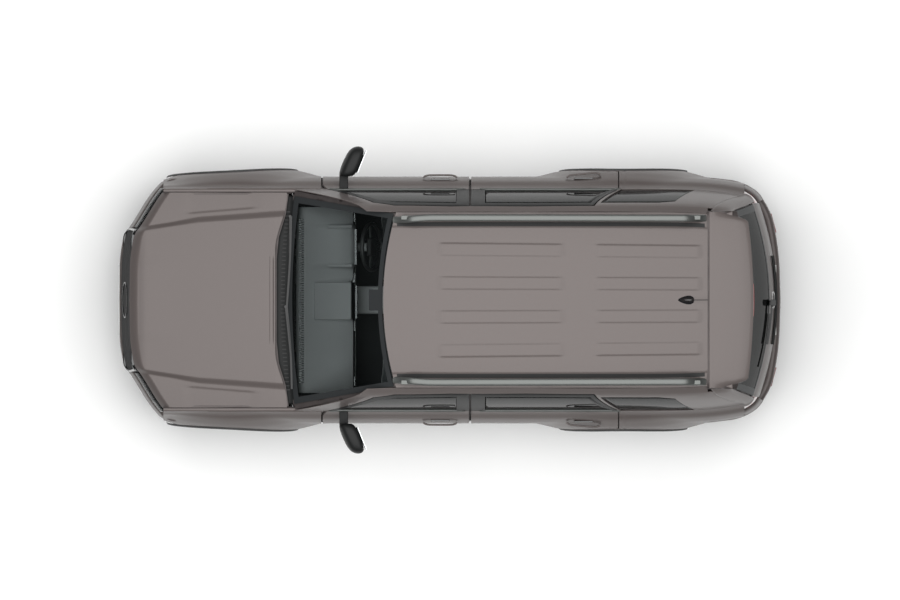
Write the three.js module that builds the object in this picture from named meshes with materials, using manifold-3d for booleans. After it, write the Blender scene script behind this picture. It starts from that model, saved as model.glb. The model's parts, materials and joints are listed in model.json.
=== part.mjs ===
// Seven-seat off-road estate car on a ladder frame, right-hand drive, standing on its wheels.
// Millimetres. +X forward, +Y to the car's left, +Z up, origin on the floor under the middle.
import * as THREE from 'three';
import { mergeVertices } from 'three/addons/utils/BufferGeometryUtils.js';
import Module from 'manifold-3d';

const wasm = await Module();
wasm.setup();

// ---------------------------------------------------------------- overall sizes
const length = 4914;
const waistHalf = 914;            // half-width of the doors at their widest
const height = 1842;              // to the top of the roof rails
const wheelbase = 2900;
const frontOverhang = 849;
const track = 1620;

// ---------------------------------------------------------------- wheels and steering
const tyreRadius = 395;
const tyreWidth = 255;
const rimRadius = 240;
const tyreFacets = 28;
const archRadius = 440;           // wheel arch opening
const flareFront = 56;            // how far each arch stands out of the body side
const flareRear = 50;
const flareReach = 300;           // distance over which the flare fades into the side
const kingpinOffset = 70;         // steering axis inboard of the wheel's middle plane

// ---------------------------------------------------------------- heights
const sillBottom = 320;
const sillTop = 440;
const waistZ = 800;
const beltZ = 1130;
const roofDrop = 42;              // roof crown below the top of the rails
const cantDrop = 62;              // cant rail below the roof crown
const floorZ = 560;
const loadFloorZ = 720;
const floorThickness = 24;

// ---------------------------------------------------------------- side of the body
const noseDraw = 85;              // how much the side narrows to the nose
const tailDraw = 150;             // and to the tail
const beltInset = 90;             // belt inside the waist
const cabinLean = 172;            // cant rail inside the belt
const skinDepth = 40;             // outer layer of a door: skin and hem
const wallDepth = 110;            // whole door or side wall below the belt
const cabinSkinDepth = 22;        // the same above the belt
const cabinWallDepth = 50;
const shutGap = 8;                // between a closed door or lid and what is beside it
const sealGap = 11;               // between a door's skin and the frame behind it
const seamGap = 0.5;              // between fixed pieces that meet
const layerLap = 18;              // how far a wall's two layers run into each other
const sealStep = 16;              // how far the frame reaches behind a door's edge
const doorStep = 34;              // how far the door's inner layer is inside its edge

// ---------------------------------------------------------------- stations along the car
const noseX = length / 2;
const tailX = -length / 2;
const frontAxleX = noseX - frontOverhang;
const rearAxleX = frontAxleX - wheelbase;
const doorFrontX = frontAxleX - 660;
const doorSplitX = frontAxleX - 1753;
const doorRearX = rearAxleX + 41;
const bulkheadX = frontAxleX - 450;
const screenBaseX = frontAxleX - 402;
const screenTopX = frontAxleX - 1104;
const bonnetRearX = frontAxleX - 310;
const wingFrontX = noseX - 330;
const tailHingeX = rearAxleX - 629;
const quarterRearX = rearAxleX - 893;

const roofZ = height - roofDrop;
const wheelZ = tyreRadius * Math.cos(Math.PI / tyreFacets);
const wingNoseZ = 684;            // bottom of the wing ahead of the wheel
const quarterBottom = 640;        // top of the rear bumper
const wingCrown = 18;             // width of the wing's flat top beside the bonnet
const bonnetHalf = waistHalf - beltInset - wingCrown - shutGap;
const tailgateHalf = 720;
const tailgateTopHalf = 648;

// ---------------------------------------------------------------- small maths
const lerp = THREE.MathUtils.lerp;
const ramp = (value, from, to) => THREE.MathUtils.smoothstep(value, from, to);
const rise = (value, from, to) => THREE.MathUtils.clamp((value - from) / (to - from), 0, 1);

// Even steps from one value towards another, without the last.
function evenly(from, to, count) {
  return Array.from({ length: count }, (_, i) => lerp(from, to, i / count));
}

// Straight pieces through [input, output] pairs, held level beyond both ends.
function along(pairs, value) {
  if (value <= pairs[0][0]) return pairs[0][1];
  for (let i = 1; i < pairs.length; i += 1) {
    const [toInput, toOutput] = pairs[i];
    const [fromInput, fromOutput] = pairs[i - 1];
    if (value <= toInput) {
      return lerp(fromOutput, toOutput, (value - fromInput) / (toInput - fromInput));
    }
  }
  return pairs[pairs.length - 1][1];
}

// ---------------------------------------------------------------- the body's surfaces
// Half-width of the body at its waist, without the wheel arch flares.
function planHalf(x) {
  const towardNose = rise(x, doorFrontX, noseX);
  const towardTail = rise(-x, -rearAxleX, -tailX);
  return waistHalf - noseDraw * towardNose ** 2 - tailDraw * towardTail ** 4;
}

// Height of the wing's top edge, which is the belt from the doors back.
function wingTopZ(x) {
  return beltZ + 14 - 82 * ramp(x, doorFrontX, noseX);
}

// Roof crown along the middle of the car.
function crownZ(x) {
  const towardFront = Math.max(0, (x + 300) / (screenTopX + 300));
  const towardRear = Math.max(0, (-300 - x) / (-300 - tailHingeX));
  return roofZ - 37 * towardFront ** 2 - 47 * towardRear ** 2;
}

const cantZ = (x) => crownZ(x) - cantDrop;

// How far the side lies inside the waist at each height.
function sideInset(x, z) {
  if (z <= beltZ) {
    const stretch = beltZ / wingTopZ(x);
    const ahead = x > doorFrontX;
    const narrowing = ahead ? (planHalf(x) - bonnetHalf - shutGap - wingCrown) / beltInset : 1;
    return narrowing * along([
      [sillBottom, 55], [sillTop, 20], [waistZ - 200, 5], [waistZ, 0], [waistZ + 110, 6],
      [beltZ - 120, 28], [beltZ - 60, 58], [beltZ, beltInset],
    ], ahead ? z * stretch : z);
  }
  const up = rise(z, beltZ, cantZ(x));
  return beltInset + cabinLean * along([[0, 0], [0.5, 0.31], [0.86, 0.67], [1, 1]], up);
}

// How far a wheel arch pushes the side out.
function flare(x, z) {
  const atFront = Math.hypot(x - frontAxleX, z - wheelZ);
  const atRear = Math.hypot(x - rearAxleX, z - wheelZ);
  const swell = (distance) => ramp(-distance, -archRadius - flareReach, -archRadius - 20);
  return flareFront * swell(atFront) + flareRear * swell(atRear);
}

const sideHalf = (x, z) => planHalf(x) - sideInset(x, z) + flare(x, z);

// Front of the car at half-width y and height z.
function noseSurfaceX(y, z) {
  const side = Math.abs(y);
  const bow = along([[0, 0], [250, 4], [475, 32], [861, 299], [920, 420]], side);
  return noseX - bow - 70 * rise(z, 650, 1050);
}

// Bonnet height: falls to the sides and rolls over at its front edge.
function bonnetZ(x, y) {
  const middle = lerp(1195, 1117, rise(x, bonnetRearX, noseX - 145));
  const fall = 52 * Math.abs(y / bonnetHalf) ** 3;
  const ahead = x - (noseSurfaceX(y, 1050) - 62);
  return middle - fall - 55 * rise(ahead, 0, 55) ** 1.5;
}

const tailBow = (y) => 2.47e-4 * y * y;

// ---------------------------------------------------------------- solids
// A closed three.js geometry as a solid that can be joined and cut.
function toSolid(geometry) {
  const bare = new THREE.BufferGeometry();
  bare.setAttribute('position', geometry.getAttribute('position').clone());
  if (geometry.index) bare.setIndex(geometry.index.clone());
  const merged = mergeVertices(bare, 1e-3);
  const spots = merged.getAttribute('position').array;
  const corners = [];
  let volume = 0;
  for (let i = 0; i < merged.index.count; i += 3) {
    const [a, b, c] = [0, 1, 2].map((k) => merged.index.getX(i + k));
    if (a === b || b === c || c === a) continue;
    const [p, q, r] = [a, b, c].map((k) => new THREE.Vector3().fromArray(spots, 3 * k));
    volume += p.dot(q.cross(r));
    corners.push([a, b, c]);
  }
  const triVerts = Uint32Array.from(corners.flatMap(([a, b, c]) => (volume > 0 ? [a, b, c] : [a, c, b])));
  return new wasm.Manifold(new wasm.Mesh({ numProp: 3, vertProperties: Float32Array.from(spots), triVerts }));
}

function toGeometry(solid) {
  const { vertProperties, triVerts } = solid.getMesh();
  const geometry = new THREE.BufferGeometry();
  geometry.setAttribute('position', new THREE.BufferAttribute(Float32Array.from(vertProperties), 3));
  geometry.setIndex(new THREE.BufferAttribute(Uint32Array.from(triVerts), 1));
  geometry.computeVertexNormals();
  return geometry;
}

const joined = (...solids) => solids.reduce((whole, solid) => whole.add(solid));
const cut = (solid, ...tools) => tools.reduce((left, tool) => left.subtract(tool), solid);

// A slab of nu by nv cells whose corners are put in place by a function of u, v and depth 0 to 1.
function slab(nu, nv, place) {
  const geometry = new THREE.BoxGeometry(1, 1, 1, nu, nv, 1);
  const spots = geometry.getAttribute('position');
  for (let i = 0; i < spots.count; i += 1) {
    const spot = place(spots.getX(i) + 0.5, spots.getY(i) + 0.5, 0.5 - spots.getZ(i));
    spots.setXYZ(i, ...spot);
  }
  return toSolid(geometry);
}

function box([x0, y0, z0], [x1, y1, z1]) {
  const geometry = new THREE.BoxGeometry(x1 - x0, y1 - y0, z1 - z0);
  return toSolid(geometry.translate((x0 + x1) / 2, (y0 + y1) / 2, (z0 + z1) / 2));
}

const outline = (points) => new THREE.Shape(points.map(([a, b]) => new THREE.Vector2(a, b)));

// An outline of [x, z] points, run across the car from y0 to y1.
function acrossPrism(points, y0, y1, steps = 1) {
  const options = { depth: y1 - y0, steps, bevelEnabled: false };
  return new THREE.ExtrudeGeometry(outline(points), options).translate(0, 0, -y1).rotateX(Math.PI / 2);
}

// An outline of [x, y] points, run up from z0 to z1.
function upPrism(points, z0, z1, steps = 1) {
  const options = { depth: z1 - z0, steps, bevelEnabled: false };
  return new THREE.ExtrudeGeometry(outline(points), options).translate(0, 0, z0);
}

// An outline of [y, z] points, run along the car from x0 to x1.
function alongPrism(points, x0, x1) {
  const options = { depth: x1 - x0, bevelEnabled: false };
  const turn = new THREE.Matrix4().set(0, 0, 1, x0, 1, 0, 0, 0, 0, 1, 0, 0, 0, 0, 0, 1);
  return new THREE.ExtrudeGeometry(outline(points), options).applyMatrix4(turn);
}

// Moves every corner of a geometry by a function of its place.
function bent(geometry, move) {
  const spots = geometry.getAttribute('position');
  for (let i = 0; i < spots.count; i += 1) {
    spots.setXYZ(i, ...move(spots.getX(i), spots.getY(i), spots.getZ(i)));
  }
  return geometry;
}

// The same outline with every edge moved out by a distance (in, where it is negative).
function grown(points, distance) {
  const turning = THREE.ShapeUtils.area(points.map(([a, b]) => new THREE.Vector2(a, b))) > 0 ? 1 : -1;
  return points.map(([a, b], i) => {
    const [pa, pb] = points[(i + points.length - 1) % points.length];
    const [na, nb] = points[(i + 1) % points.length];
    const before = new THREE.Vector2(b - pb, pa - a).normalize().multiplyScalar(turning);
    const after = new THREE.Vector2(nb - b, a - na).normalize().multiplyScalar(turning);
    const corner = before.add(after);
    const reach = (2 * distance) / corner.lengthSq();
    return [a + corner.x * reach, b + corner.y * reach];
  });
}

function cylinderAcross(x, z, radius, y0, y1, facets = 32) {
  const geometry = new THREE.CylinderGeometry(radius, radius, y1 - y0, facets);
  return toSolid(geometry.rotateY(Math.PI / facets).translate(x, (y0 + y1) / 2, z));
}

// Points of an arc in degrees, from one angle to another.
function arc(cx, cz, radius, from, to, count) {
  return Array.from({ length: count + 1 }, (_, i) => {
    const angle = THREE.MathUtils.degToRad(lerp(from, to, i / count));
    return [cx + radius * Math.cos(angle), cz + radius * Math.sin(angle)];
  });
}

// ---------------------------------------------------------------- outlines seen from the side
const rearDoorFrontX = doorSplitX - shutGap;
const frontTopX = (doorSplitX + screenTopX - 90) / 2;
const rearTopX = (rearDoorFrontX - 107 + doorRearX + 205) / 2;
const frontDoorOutline = [
  [doorFrontX, sillTop], [doorFrontX, beltZ - 60], [doorFrontX - 40, beltZ + 25],
  [screenTopX + 60, cantZ(screenTopX) - 118], [screenTopX - 90, cantZ(screenTopX) - 62],
  [frontTopX, cantZ(frontTopX) - 62], [doorSplitX, cantZ(doorSplitX) - 62], [doorSplitX, sillTop],
];
const archDoorRadius = archRadius + 78;
const rearDoorOutline = [
  [rearDoorFrontX, sillTop],
  ...arc(rearAxleX, wheelZ, archDoorRadius, 5, 85.5, 6),
  [doorRearX, beltZ + 10], [doorRearX + 185, cantZ(doorRearX) - 62],
  [rearTopX, cantZ(rearTopX) - 62],
  [rearDoorFrontX, cantZ(rearDoorFrontX) - 62],
];
const frontWindowOutline = [
  [doorFrontX - 91, beltZ + 18], [screenTopX + 20, cantZ(screenTopX) - 172],
  [screenTopX - 110, cantZ(screenTopX) - 112], [frontTopX, cantZ(frontTopX) - 108],
  [doorSplitX + 97, cantZ(doorSplitX) - 108], [doorSplitX + 97, beltZ + 18],
];
const rearWindowOutline = [
  [rearDoorFrontX - 107, beltZ + 18], [rearDoorFrontX - 107, cantZ(rearDoorFrontX) - 108],
  [rearTopX, cantZ(rearTopX) - 108], [doorRearX + 205, cantZ(doorRearX) - 112],
  [doorRearX + 45, beltZ + 18],
];
const quarterWindowOutline = [
  [doorRearX - 20, beltZ + 22], [doorRearX + 135, cantZ(doorRearX) - 105],
  [doorRearX - 300, cantZ(doorRearX - 300) - 108], [tailHingeX + 250, cantZ(tailHingeX) - 125],
  [tailHingeX + 105, beltZ + 22],
];
// The back edge of the side, beside the tailgate.
const sideBackOutline = [
  [tailHingeX + 8, roofZ], [tailHingeX - 40, cantZ(tailHingeX)], [quarterRearX, beltZ - 20],
  [quarterRearX, sillBottom], [tailX - 200, sillBottom], [tailX - 200, roofZ],
];

// ---------------------------------------------------------------- side walls
const doorCells = 8;
const doorLap = 10;               // how far a door's layers run past its edges before they are trimmed
const foreX = screenBaseX - 41;   // front end of the side frame
const backX = tailX + 60;
// Stations that every layer of the side shares, so that their facets match.
const sideStations = [
  ...evenly(foreX, doorFrontX + doorLap, 2), ...evenly(doorFrontX + doorLap, doorSplitX + doorLap, doorCells),
  ...evenly(doorSplitX + doorLap, doorSplitX - doorLap, 1),
  ...evenly(doorSplitX - doorLap, doorRearX - doorLap, doorCells), ...evenly(doorRearX - doorLap, backX, doorCells),
  backX,
];
const sideLevels = [
  sillBottom, sillTop, waistZ - 200, waistZ - 90, waistZ, waistZ + 110, beltZ - 120, beltZ - 60, beltZ,
];

const skinAt = (z) => (z > beltZ - 30 ? cabinSkinDepth : skinDepth);
const wallAt = (z) => (z > beltZ + 10 ? cabinWallDepth : wallDepth);

// A layer of the left side, between two depths under its skin.
function sideLayer(fromX, toX, outerDepth, innerDepth) {
  const run = sideStations.filter((x) => x <= fromX && x >= toX);
  const cells = run.length - 1;
  const lower = slab(cells, sideLevels.length - 1, (u, v, depth) => {
    const x = run[Math.round(u * cells)];
    const z = sideLevels[Math.round(v * (sideLevels.length - 1))];
    return [x, sideHalf(x, z) - lerp(outerDepth(z), innerDepth(z), depth), z];
  });
  const upper = slab(cells, 4, (u, v, depth) => {
    const x = run[Math.round(u * cells)];
    const z = lerp(beltZ, cantZ(x), v);
    const inward = lerp(outerDepth(beltZ + 20), innerDepth(beltZ + 20), depth);
    return [x, sideHalf(x, z) - inward, z];
  });
  return lower.add(upper);
}

const across = (points, from = 300, to = 1300) => toSolid(acrossPrism(points, from, to));

// A door: a skin to the outline and an inner layer that steps in, with its window cut.
function makeDoor(doorOutline, windowOutline, fromX, toX) {
  const skin = sideLayer(fromX, toX, () => 0, skinAt);
  const inner = sideLayer(fromX, toX, (z) => skinAt(z) - layerLap, wallAt);
  const body = skin.intersect(across(doorOutline))
    .add(inner.intersect(across(grown(doorOutline, -doorStep))));
  return body.subtract(across(windowOutline));
}

function makeSideGlass(windowOutline, fromX, toX, cells) {
  const pane = slab(cells, 4, (u, v, depth) => {
    const x = lerp(fromX, toX, u);
    const z = lerp(beltZ, cantZ(x), v);
    return [x, sideHalf(x, z) - lerp(6, 11, depth), z];
  });
  return pane.intersect(across(grown(windowOutline, -seamGap)));
}

const leftFrontDoor = makeDoor(
  frontDoorOutline, frontWindowOutline, doorFrontX + doorLap, doorSplitX - doorLap,
);
const leftRearDoor = makeDoor(
  rearDoorOutline, rearWindowOutline, doorSplitX + doorLap, doorRearX - doorLap,
);
const leftFrontGlass = makeSideGlass(frontWindowOutline, doorFrontX, doorSplitX, 6);
const leftRearGlass = makeSideGlass(rearWindowOutline, doorSplitX, doorRearX, 6);
const leftQuarterGlass = makeSideGlass(quarterWindowOutline, doorRearX + 200, tailHingeX, 6);

// The tailgate's opening, seen from behind.
const tailgateOutline = [
  [-tailgateHalf, 648], [-tailgateHalf, beltZ], [-tailgateTopHalf, roofZ + 40],
  [tailgateTopHalf, roofZ + 40], [tailgateHalf, beltZ], [tailgateHalf, 648],
];
const tailOpening = toSolid(alongPrism(grown(tailgateOutline, shutGap), tailX - 50, tailHingeX + shutGap));

// The side frame: hinge pillar, sill, pillars, cant rail and rear quarter in one pressing.
function makeSideFrame() {
  const behindWing = doorFrontX + shutGap;
  const outer = cut(
    sideLayer(foreX, backX, () => 0, (z) => skinAt(z) + sealGap + layerLap),
    across(grown(frontDoorOutline, shutGap)), across(grown(rearDoorOutline, shutGap)),
    across([[behindWing, sillTop - 10], [behindWing, beltZ], [foreX + 200, beltZ], [foreX + 200, sillTop - 10]]),
  );
  const inner = cut(
    sideLayer(foreX, backX, (z) => skinAt(z) + sealGap, wallAt),
    across(grown(frontDoorOutline, -sealStep)), across(grown(rearDoorOutline, -sealStep)),
  );
  const screenEdge = Array.from({ length: 5 }, (_, i) => screenPoint(1, i / 4)).map(([x, , z]) => [x, z - 10]);
  const screenSide = [
    ...screenEdge, [screenTopX - 95, screenEdge[4][1]], [screenTopX - 95, roofZ + 50],
    [foreX + 200, roofZ + 50], [foreX + 200, beltZ], [screenEdge[0][0], beltZ],
  ];
  const arch = cylinderAcross(rearAxleX, wheelZ, archRadius, 300, 1300);
  const low = box([tailX - 50, 300, 0], [rearAxleX - 200, 1300, quarterBottom + seamGap]);
  return cut(outer.add(inner), across(quarterWindowOutline), across(screenSide), arch, low,
    across(sideBackOutline), tailOpening);
}

const leftSideFrame = makeSideFrame();

// The front wing: outer layer ahead of the door, open over the wheel.
function makeWing() {
  const frontX = wingFrontX;
  const rearX = doorFrontX + shutGap;
  const rows = sideLevels.length;
  const shell = slab(12, rows, (u, v, depth) => {
    const x = lerp(rearX, frontX, u);
    const row = Math.round(v * rows);
    const z = row < rows ? (sideLevels[row] * wingTopZ(x)) / beltZ : wingTopZ(x) + 8;
    const half = row < rows ? sideHalf(x, z) : bonnetHalf + shutGap;
    const inside = row < rows ? Math.max(half - skinDepth, bonnetHalf + shutGap + 4) : half;
    return [x, lerp(half, inside, depth), row < rows ? z : z - 12 * depth];
  });
  const arch = cylinderAcross(frontAxleX, wheelZ, archRadius, 300, 1300);
  const sill = box([rearX - 100, 300, 0], [bulkheadX + 200, 1300, sillTop]);
  const nose = box([frontAxleX, 300, 0], [noseX, 1300, wingNoseZ]);
  const pillarBase = box([rearX - 100, 300, beltZ - seamGap], [screenBaseX - 40, 1300, roofZ]);
  return cut(shell, arch, sill, nose, pillarBase);
}

const leftWing = makeWing();

// ---------------------------------------------------------------- roof and glass
function makeRoof() {
  return slab(12, 12, (u, v, depth) => {
    const side = 2 * v - 1;
    const x = lerp(tailHingeX + shutGap, screenTopX - 42, u) - 85 * side ** 2 * ramp(u, 0.7, 1);
    const fall = (cantDrop - 4) * side ** 4;
    const thickness = Math.min(36, cantDrop - 1.5 - fall);
    return [x, side * (sideHalf(x, cantZ(x)) - seamGap), crownZ(x) - fall - thickness * depth];
  });
}

function screenPoint(across01, up) {
  const side = 2 * across01 - 1;
  const half = lerp(771, 640, up);
  const x = lerp(screenBaseX, screenTopX, up) - lerp(52, 85, up) * side ** 2;
  const z = lerp(1186, crownZ(screenTopX) - 20, up) + 60 * up * (1 - up) - 34 * side ** 2;
  return [x, half * side, z];
}

const windscreen = slab(8, 6, (u, v, depth) => {
  const [x, y, z] = screenPoint(u, v);
  return [x - 4 * depth, y, z - 5 * depth];
});

// ---------------------------------------------------------------- bonnet
const bonnetRearEdgeX = (y) => bonnetRearX - 88 * ramp(Math.abs(y), 371, 771);

const bonnet = slab(12, 10, (u, v, depth) => {
  const y = lerp(-bonnetHalf, bonnetHalf, v);
  const x = lerp(bonnetRearEdgeX(y), noseSurfaceX(y, 1050) - 8, u);
  return [x, y, bonnetZ(x, y) - 28 * depth];
});

// ---------------------------------------------------------------- front end
function planWall(points, inner, z0, z1) {
  return toSolid(upPrism([...points, ...inner.reverse()], z0, z1, 3));
}

function mirroredPath(half) {
  return [...half.slice().reverse().map(([x, y]) => [x, -y]), ...half];
}

const bumperTopZ = 822;
const frontBumper = (() => {
  const sides = [-905, -861, -668, -475, -250, 0, 250, 475, 668, 861, 905];
  const wall = slab(sides.length - 1, 4, (u, v, depth) => {
    const y = sides[Math.round(u * (sides.length - 1))];
    const z = lerp(sillBottom, bumperTopZ, v);
    const tuck = 40 * (1 - rise(z, sillBottom, 460));
    return [noseSurfaceX(y, z) - tuck - 60 * depth, y - Math.sign(y) * 40 * depth * rise(Math.abs(y), 475, 861), z];
  });
  const grilleGap = box([noseX - 300, -538, 692], [noseX + 50, 538, bumperTopZ + 50]);
  const arch = cylinderAcross(frontAxleX, wheelZ, archRadius, -1300, 1300);
  const wingGap = box([0, -1300, wingNoseZ - seamGap], [wingFrontX + seamGap, 1300, bumperTopZ + 50]);
  return cut(wall, grilleGap, arch, wingGap);
})();

const grille = slab(8, 3, (u, v, depth) => {
  const y = lerp(-528, 528, u);
  const z = lerp(700, 1012, v);
  return [noseSurfaceX(y, z) - 4 - 46 * depth, y, z];
});

const leftHeadlamp = slab(4, 3, (u, v, depth) => {
  const y = lerp(540, bonnetHalf + shutGap, u);
  const z = lerp(bumperTopZ + 6, 992, v);
  return [noseSurfaceX(y, z) - 6 - 100 * depth, y, z];
});

// ---------------------------------------------------------------- tailgate and rear end
const tailgateProfile = [
  [tailHingeX, crownZ(tailHingeX)], [tailHingeX - 180, crownZ(tailHingeX) - 14],
  [tailX + 207, crownZ(tailHingeX) - 32], [tailX + 207, crownZ(tailHingeX) - 58],
  [tailX + 247, crownZ(tailHingeX) - 76], [tailX + 87, 1196], [tailX + 72, beltZ],
  [tailX + 44, 1000], [tailX + 34, 850], [tailX + 44, 648],
];
const tailgateInside = [
  [tailX + 114, 648], [tailX + 110, 850], [tailX + 120, 1000], [tailX + 140, beltZ],
  [tailX + 150, 1196], [tailX + 312, crownZ(tailHingeX) - 84], [tailHingeX - 12, crownZ(tailHingeX) - 46],
  [tailHingeX, crownZ(tailHingeX) - 40],
];
const tailWindowOutline = [
  [-672, 1212], [-604, crownZ(tailHingeX) - 122], [604, crownZ(tailHingeX) - 122], [672, 1212],
];

function tailPiece(profile, sideOutline) {
  const reach = tailgateHalf + 20;
  const bar = bent(acrossPrism(profile, -reach, reach, 10), (x, y, z) => {
    const bow = tailBow(y) * rise(-x, -tailHingeX, -tailHingeX + 300);
    const fall = (cantDrop - 4) * Math.abs(y / reach) ** 4 * rise(z, beltZ, crownZ(tailHingeX));
    return [x + bow, y, z - fall];
  });
  return toSolid(bar).intersect(toSolid(alongPrism(sideOutline, tailX - 100, tailHingeX + 100)));
}

const tailgate = tailPiece([...tailgateProfile, ...tailgateInside], tailgateOutline)
  .subtract(toSolid(alongPrism(tailWindowOutline, tailX - 100, tailHingeX - 200)));
const tailGlass = tailPiece([
  [tailX + 243, crownZ(tailHingeX) - 100], [tailX + 94, 1206],
  [tailX + 100, 1204], [tailX + 249, crownZ(tailHingeX) - 98],
], grown(tailWindowOutline, -seamGap));

const rearBumperHalf = [
  [tailX, 0], [tailX + 12, 294], [tailX + 27, 446], [tailX + 57, 602], [tailX + 87, 676],
  [tailX + 161, 800], [tailX + 250, 856], [tailX + 340, 890], [tailX + 560, 915], [rearAxleX - archRadius + 40, 925],
];
const rearBumper = (() => {
  const outer = [...rearBumperHalf.slice(1).reverse().map(([x, y]) => [x, -y]), ...rearBumperHalf];
  const inner = outer.map(([x, y]) => [Math.max(x + 60, x), y * (1 - 60 / 900)]);
  inner[0] = [outer[0][0], outer[0][1] + 60];
  inner[inner.length - 1] = [outer[outer.length - 1][0], outer[outer.length - 1][1] - 60];
  const wall = planWall(outer, inner, 370, 812);
  const gateGap = box([tailX - 50, -tailgateHalf - shutGap, quarterBottom], [tailX + 400, tailgateHalf + shutGap, 900]);
  const arch = cylinderAcross(rearAxleX, wheelZ, archRadius, -1300, 1300);
  const sideGap = box([quarterRearX - seamGap, -1300, quarterBottom], [0, 1300, 900]);
  return cut(wall, gateGap, arch, sideGap);
})();

const leftTailLamp = toSolid(upPrism([
  [quarterRearX - 42, tailgateHalf + shutGap], [quarterRearX - 42, 838], [quarterRearX - 90, 810],
  [quarterRearX - 135, 770], [quarterRearX - 145, tailgateHalf + shutGap],
], 818, 1088));

// ---------------------------------------------------------------- frame, floor and running gear
const railHalf = 420;
const railWidth = 76;

function makeLadderFrame() {
  const profile = [
    [noseX - 170, 470], [frontAxleX - 300, 430], [rearAxleX + 480, 400], [rearAxleX + 260, 530],
    [rearAxleX - 240, 540], [rearAxleX - 460, 470], [tailX + 130, 470], [tailX + 130, 570],
    [rearAxleX - 480, 570], [rearAxleX - 240, 640], [rearAxleX + 230, 640], [rearAxleX + 410, 515],
    [frontAxleX - 300, 525], [noseX - 170, 580],
  ];
  const rails = [railHalf - railWidth / 2, -railHalf - railWidth / 2]
    .map((y) => toSolid(acrossPrism(profile, y, y + railWidth)));
  const stations = [
    [noseX - 230, 480, 570], [frontAxleX - 380, 440, 520], [100, 440, 500], [rearAxleX + 560, 440, 500],
    [rearAxleX - 380, 520, 600], [tailX + 190, 480, 560],
  ];
  const bars = stations.map(([x, z0, z1]) => box([x - 45, -railHalf, z0], [x + 45, railHalf, z1]));
  return joined(...rails, ...bars);
}

function makeFloor() {
  const endX = tailX + 262;
  const top = [
    [bulkheadX - 10, floorZ], [rearAxleX + 440, floorZ], [rearAxleX + 370, loadFloorZ], [endX, loadFloorZ],
    [endX, sillTop + 150], [endX + floorThickness, sillTop + 150],
    [endX + floorThickness, loadFloorZ - floorThickness], [rearAxleX + 352, loadFloorZ - floorThickness],
    [rearAxleX + 424, floorZ - floorThickness], [bulkheadX - 10, floorZ - floorThickness],
  ];
  const edge = Array.from({ length: 9 }, (_, i) => lerp(bulkheadX, endX, i / 8)).map((x) => [x, cabinHalf(x)]);
  const plan = upPrism([...edge, ...edge.map(([x, y]) => [x, -y]).reverse()], 0, 1000);
  const sheet = toSolid(acrossPrism(top, -waistHalf, waistHalf)).intersect(toSolid(plan));
  const wells = [-1, 1].map((side) => cylinderAcross(
    rearAxleX, wheelZ, archRadius + 6, side > 0 ? 600 : -900, side > 0 ? 900 : -600,
  ));
  return cut(sheet, ...wells);
}

const cabinHalf = (x) => planHalf(x) - wallDepth - 24;

const bulkhead = joined(
  toSolid(alongPrism([
    [-cabinHalf(bulkheadX), floorZ - floorThickness], [-cabinHalf(bulkheadX), 900], [-700, 1124],
    [700, 1124], [cabinHalf(bulkheadX), 900], [cabinHalf(bulkheadX), floorZ - floorThickness],
  ], bulkheadX - 8, bulkheadX + 12)),
  box([bulkheadX, -700, 1100], [bonnetRearX - 110, 700, 1124]),
);

const engineBlock = box([frontAxleX - 330, -260, 600], [frontAxleX + 330, 260, 1030]);
const fuelTank = box([rearAxleX + 700, 60 - railHalf + railWidth, 300], [rearAxleX + 1500, -60, 395]);

function makeRearAxle() {
  const profile = [
    [0, -690], [70, -690], [70, -610], [38, -600], [38, -200], [140, -80], [140, 80], [38, 200],
    [38, 600], [70, 610], [70, 690], [0, 690],
  ].map(([r, y]) => new THREE.Vector2(r, y));
  return toSolid(new THREE.LatheGeometry(profile, 16).translate(rearAxleX, 0, wheelZ));
}

const gearbox = box([frontAxleX - 1010, -120, 330], [frontAxleX - 342, 120, 432]);
const propShaft = toSolid(
  new THREE.CylinderGeometry(30, 30, frontAxleX - 1020 - rearAxleX - 150, 10)
    .rotateZ(Math.PI / 2).translate((frontAxleX - 1020 + rearAxleX + 150) / 2, 0, wheelZ),
);
const spareWheelRadius = 370;
const spareWheel = toSolid(new THREE.LatheGeometry([
  [0, -40], [170, -40], [200, -90], [spareWheelRadius - 20, -90], [spareWheelRadius, -60],
  [spareWheelRadius, 60], [spareWheelRadius - 20, 90], [200, 90], [170, 20], [0, 20],
].map(([r, z]) => new THREE.Vector2(r, z)), 24).rotateX(Math.PI / 2).translate(rearAxleX - 545, 0, 410));

// The exhaust: a pipe with a silencer, over the axle and out behind the right rear wheel.
const exhaust = (() => {
  const route = new THREE.CatmullRomCurve3([
    [frontAxleX - 400, -300, 380], [200, -320, 370], [rearAxleX + 500, -320, 370],
    [rearAxleX + 60, -300, 492], [rearAxleX - 180, -360, 425], [rearAxleX - 420, -560, 400],
    [tailX + 200, -600, 400],
  ].map((spot) => new THREE.Vector3(...spot)));
  const ring = new THREE.Shape().absarc(0, 0, 27, 0, Math.PI * 2);
  const pipe = new THREE.ExtrudeGeometry(ring, { extrudePath: route, steps: 28, curveSegments: 4 });
  const silencer = new THREE.CylinderGeometry(75, 75, 520, 12).rotateZ(Math.PI / 2).translate(500, -300, 372);
  return joined(toSolid(pipe), toSolid(silencer));
})();

const kingpinY = track / 2 - kingpinOffset;
const frontSuspension = joined(
  box([frontAxleX - 160, -400, 300], [frontAxleX + 160, 400, 360]),
  ...[-1, 1].flatMap((side) => {
    const reach = (y0, y1) => (side > 0 ? [y0, y1] : [-y1, -y0]);
    const [a0, a1] = reach(340, kingpinY - 40);
    const [t0, t1] = reach(300, 360);
    const [u0, u1] = reach(300, kingpinY - 60);
    return [
      box([frontAxleX - 45, a0, 262], [frontAxleX + 45, a1, 302]),
      box([frontAxleX - 50, t0, 300], [frontAxleX + 50, t1, 640]),
      box([frontAxleX - 40, u0, 590], [frontAxleX + 40, u1, 620]),
    ];
  }),
);

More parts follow.
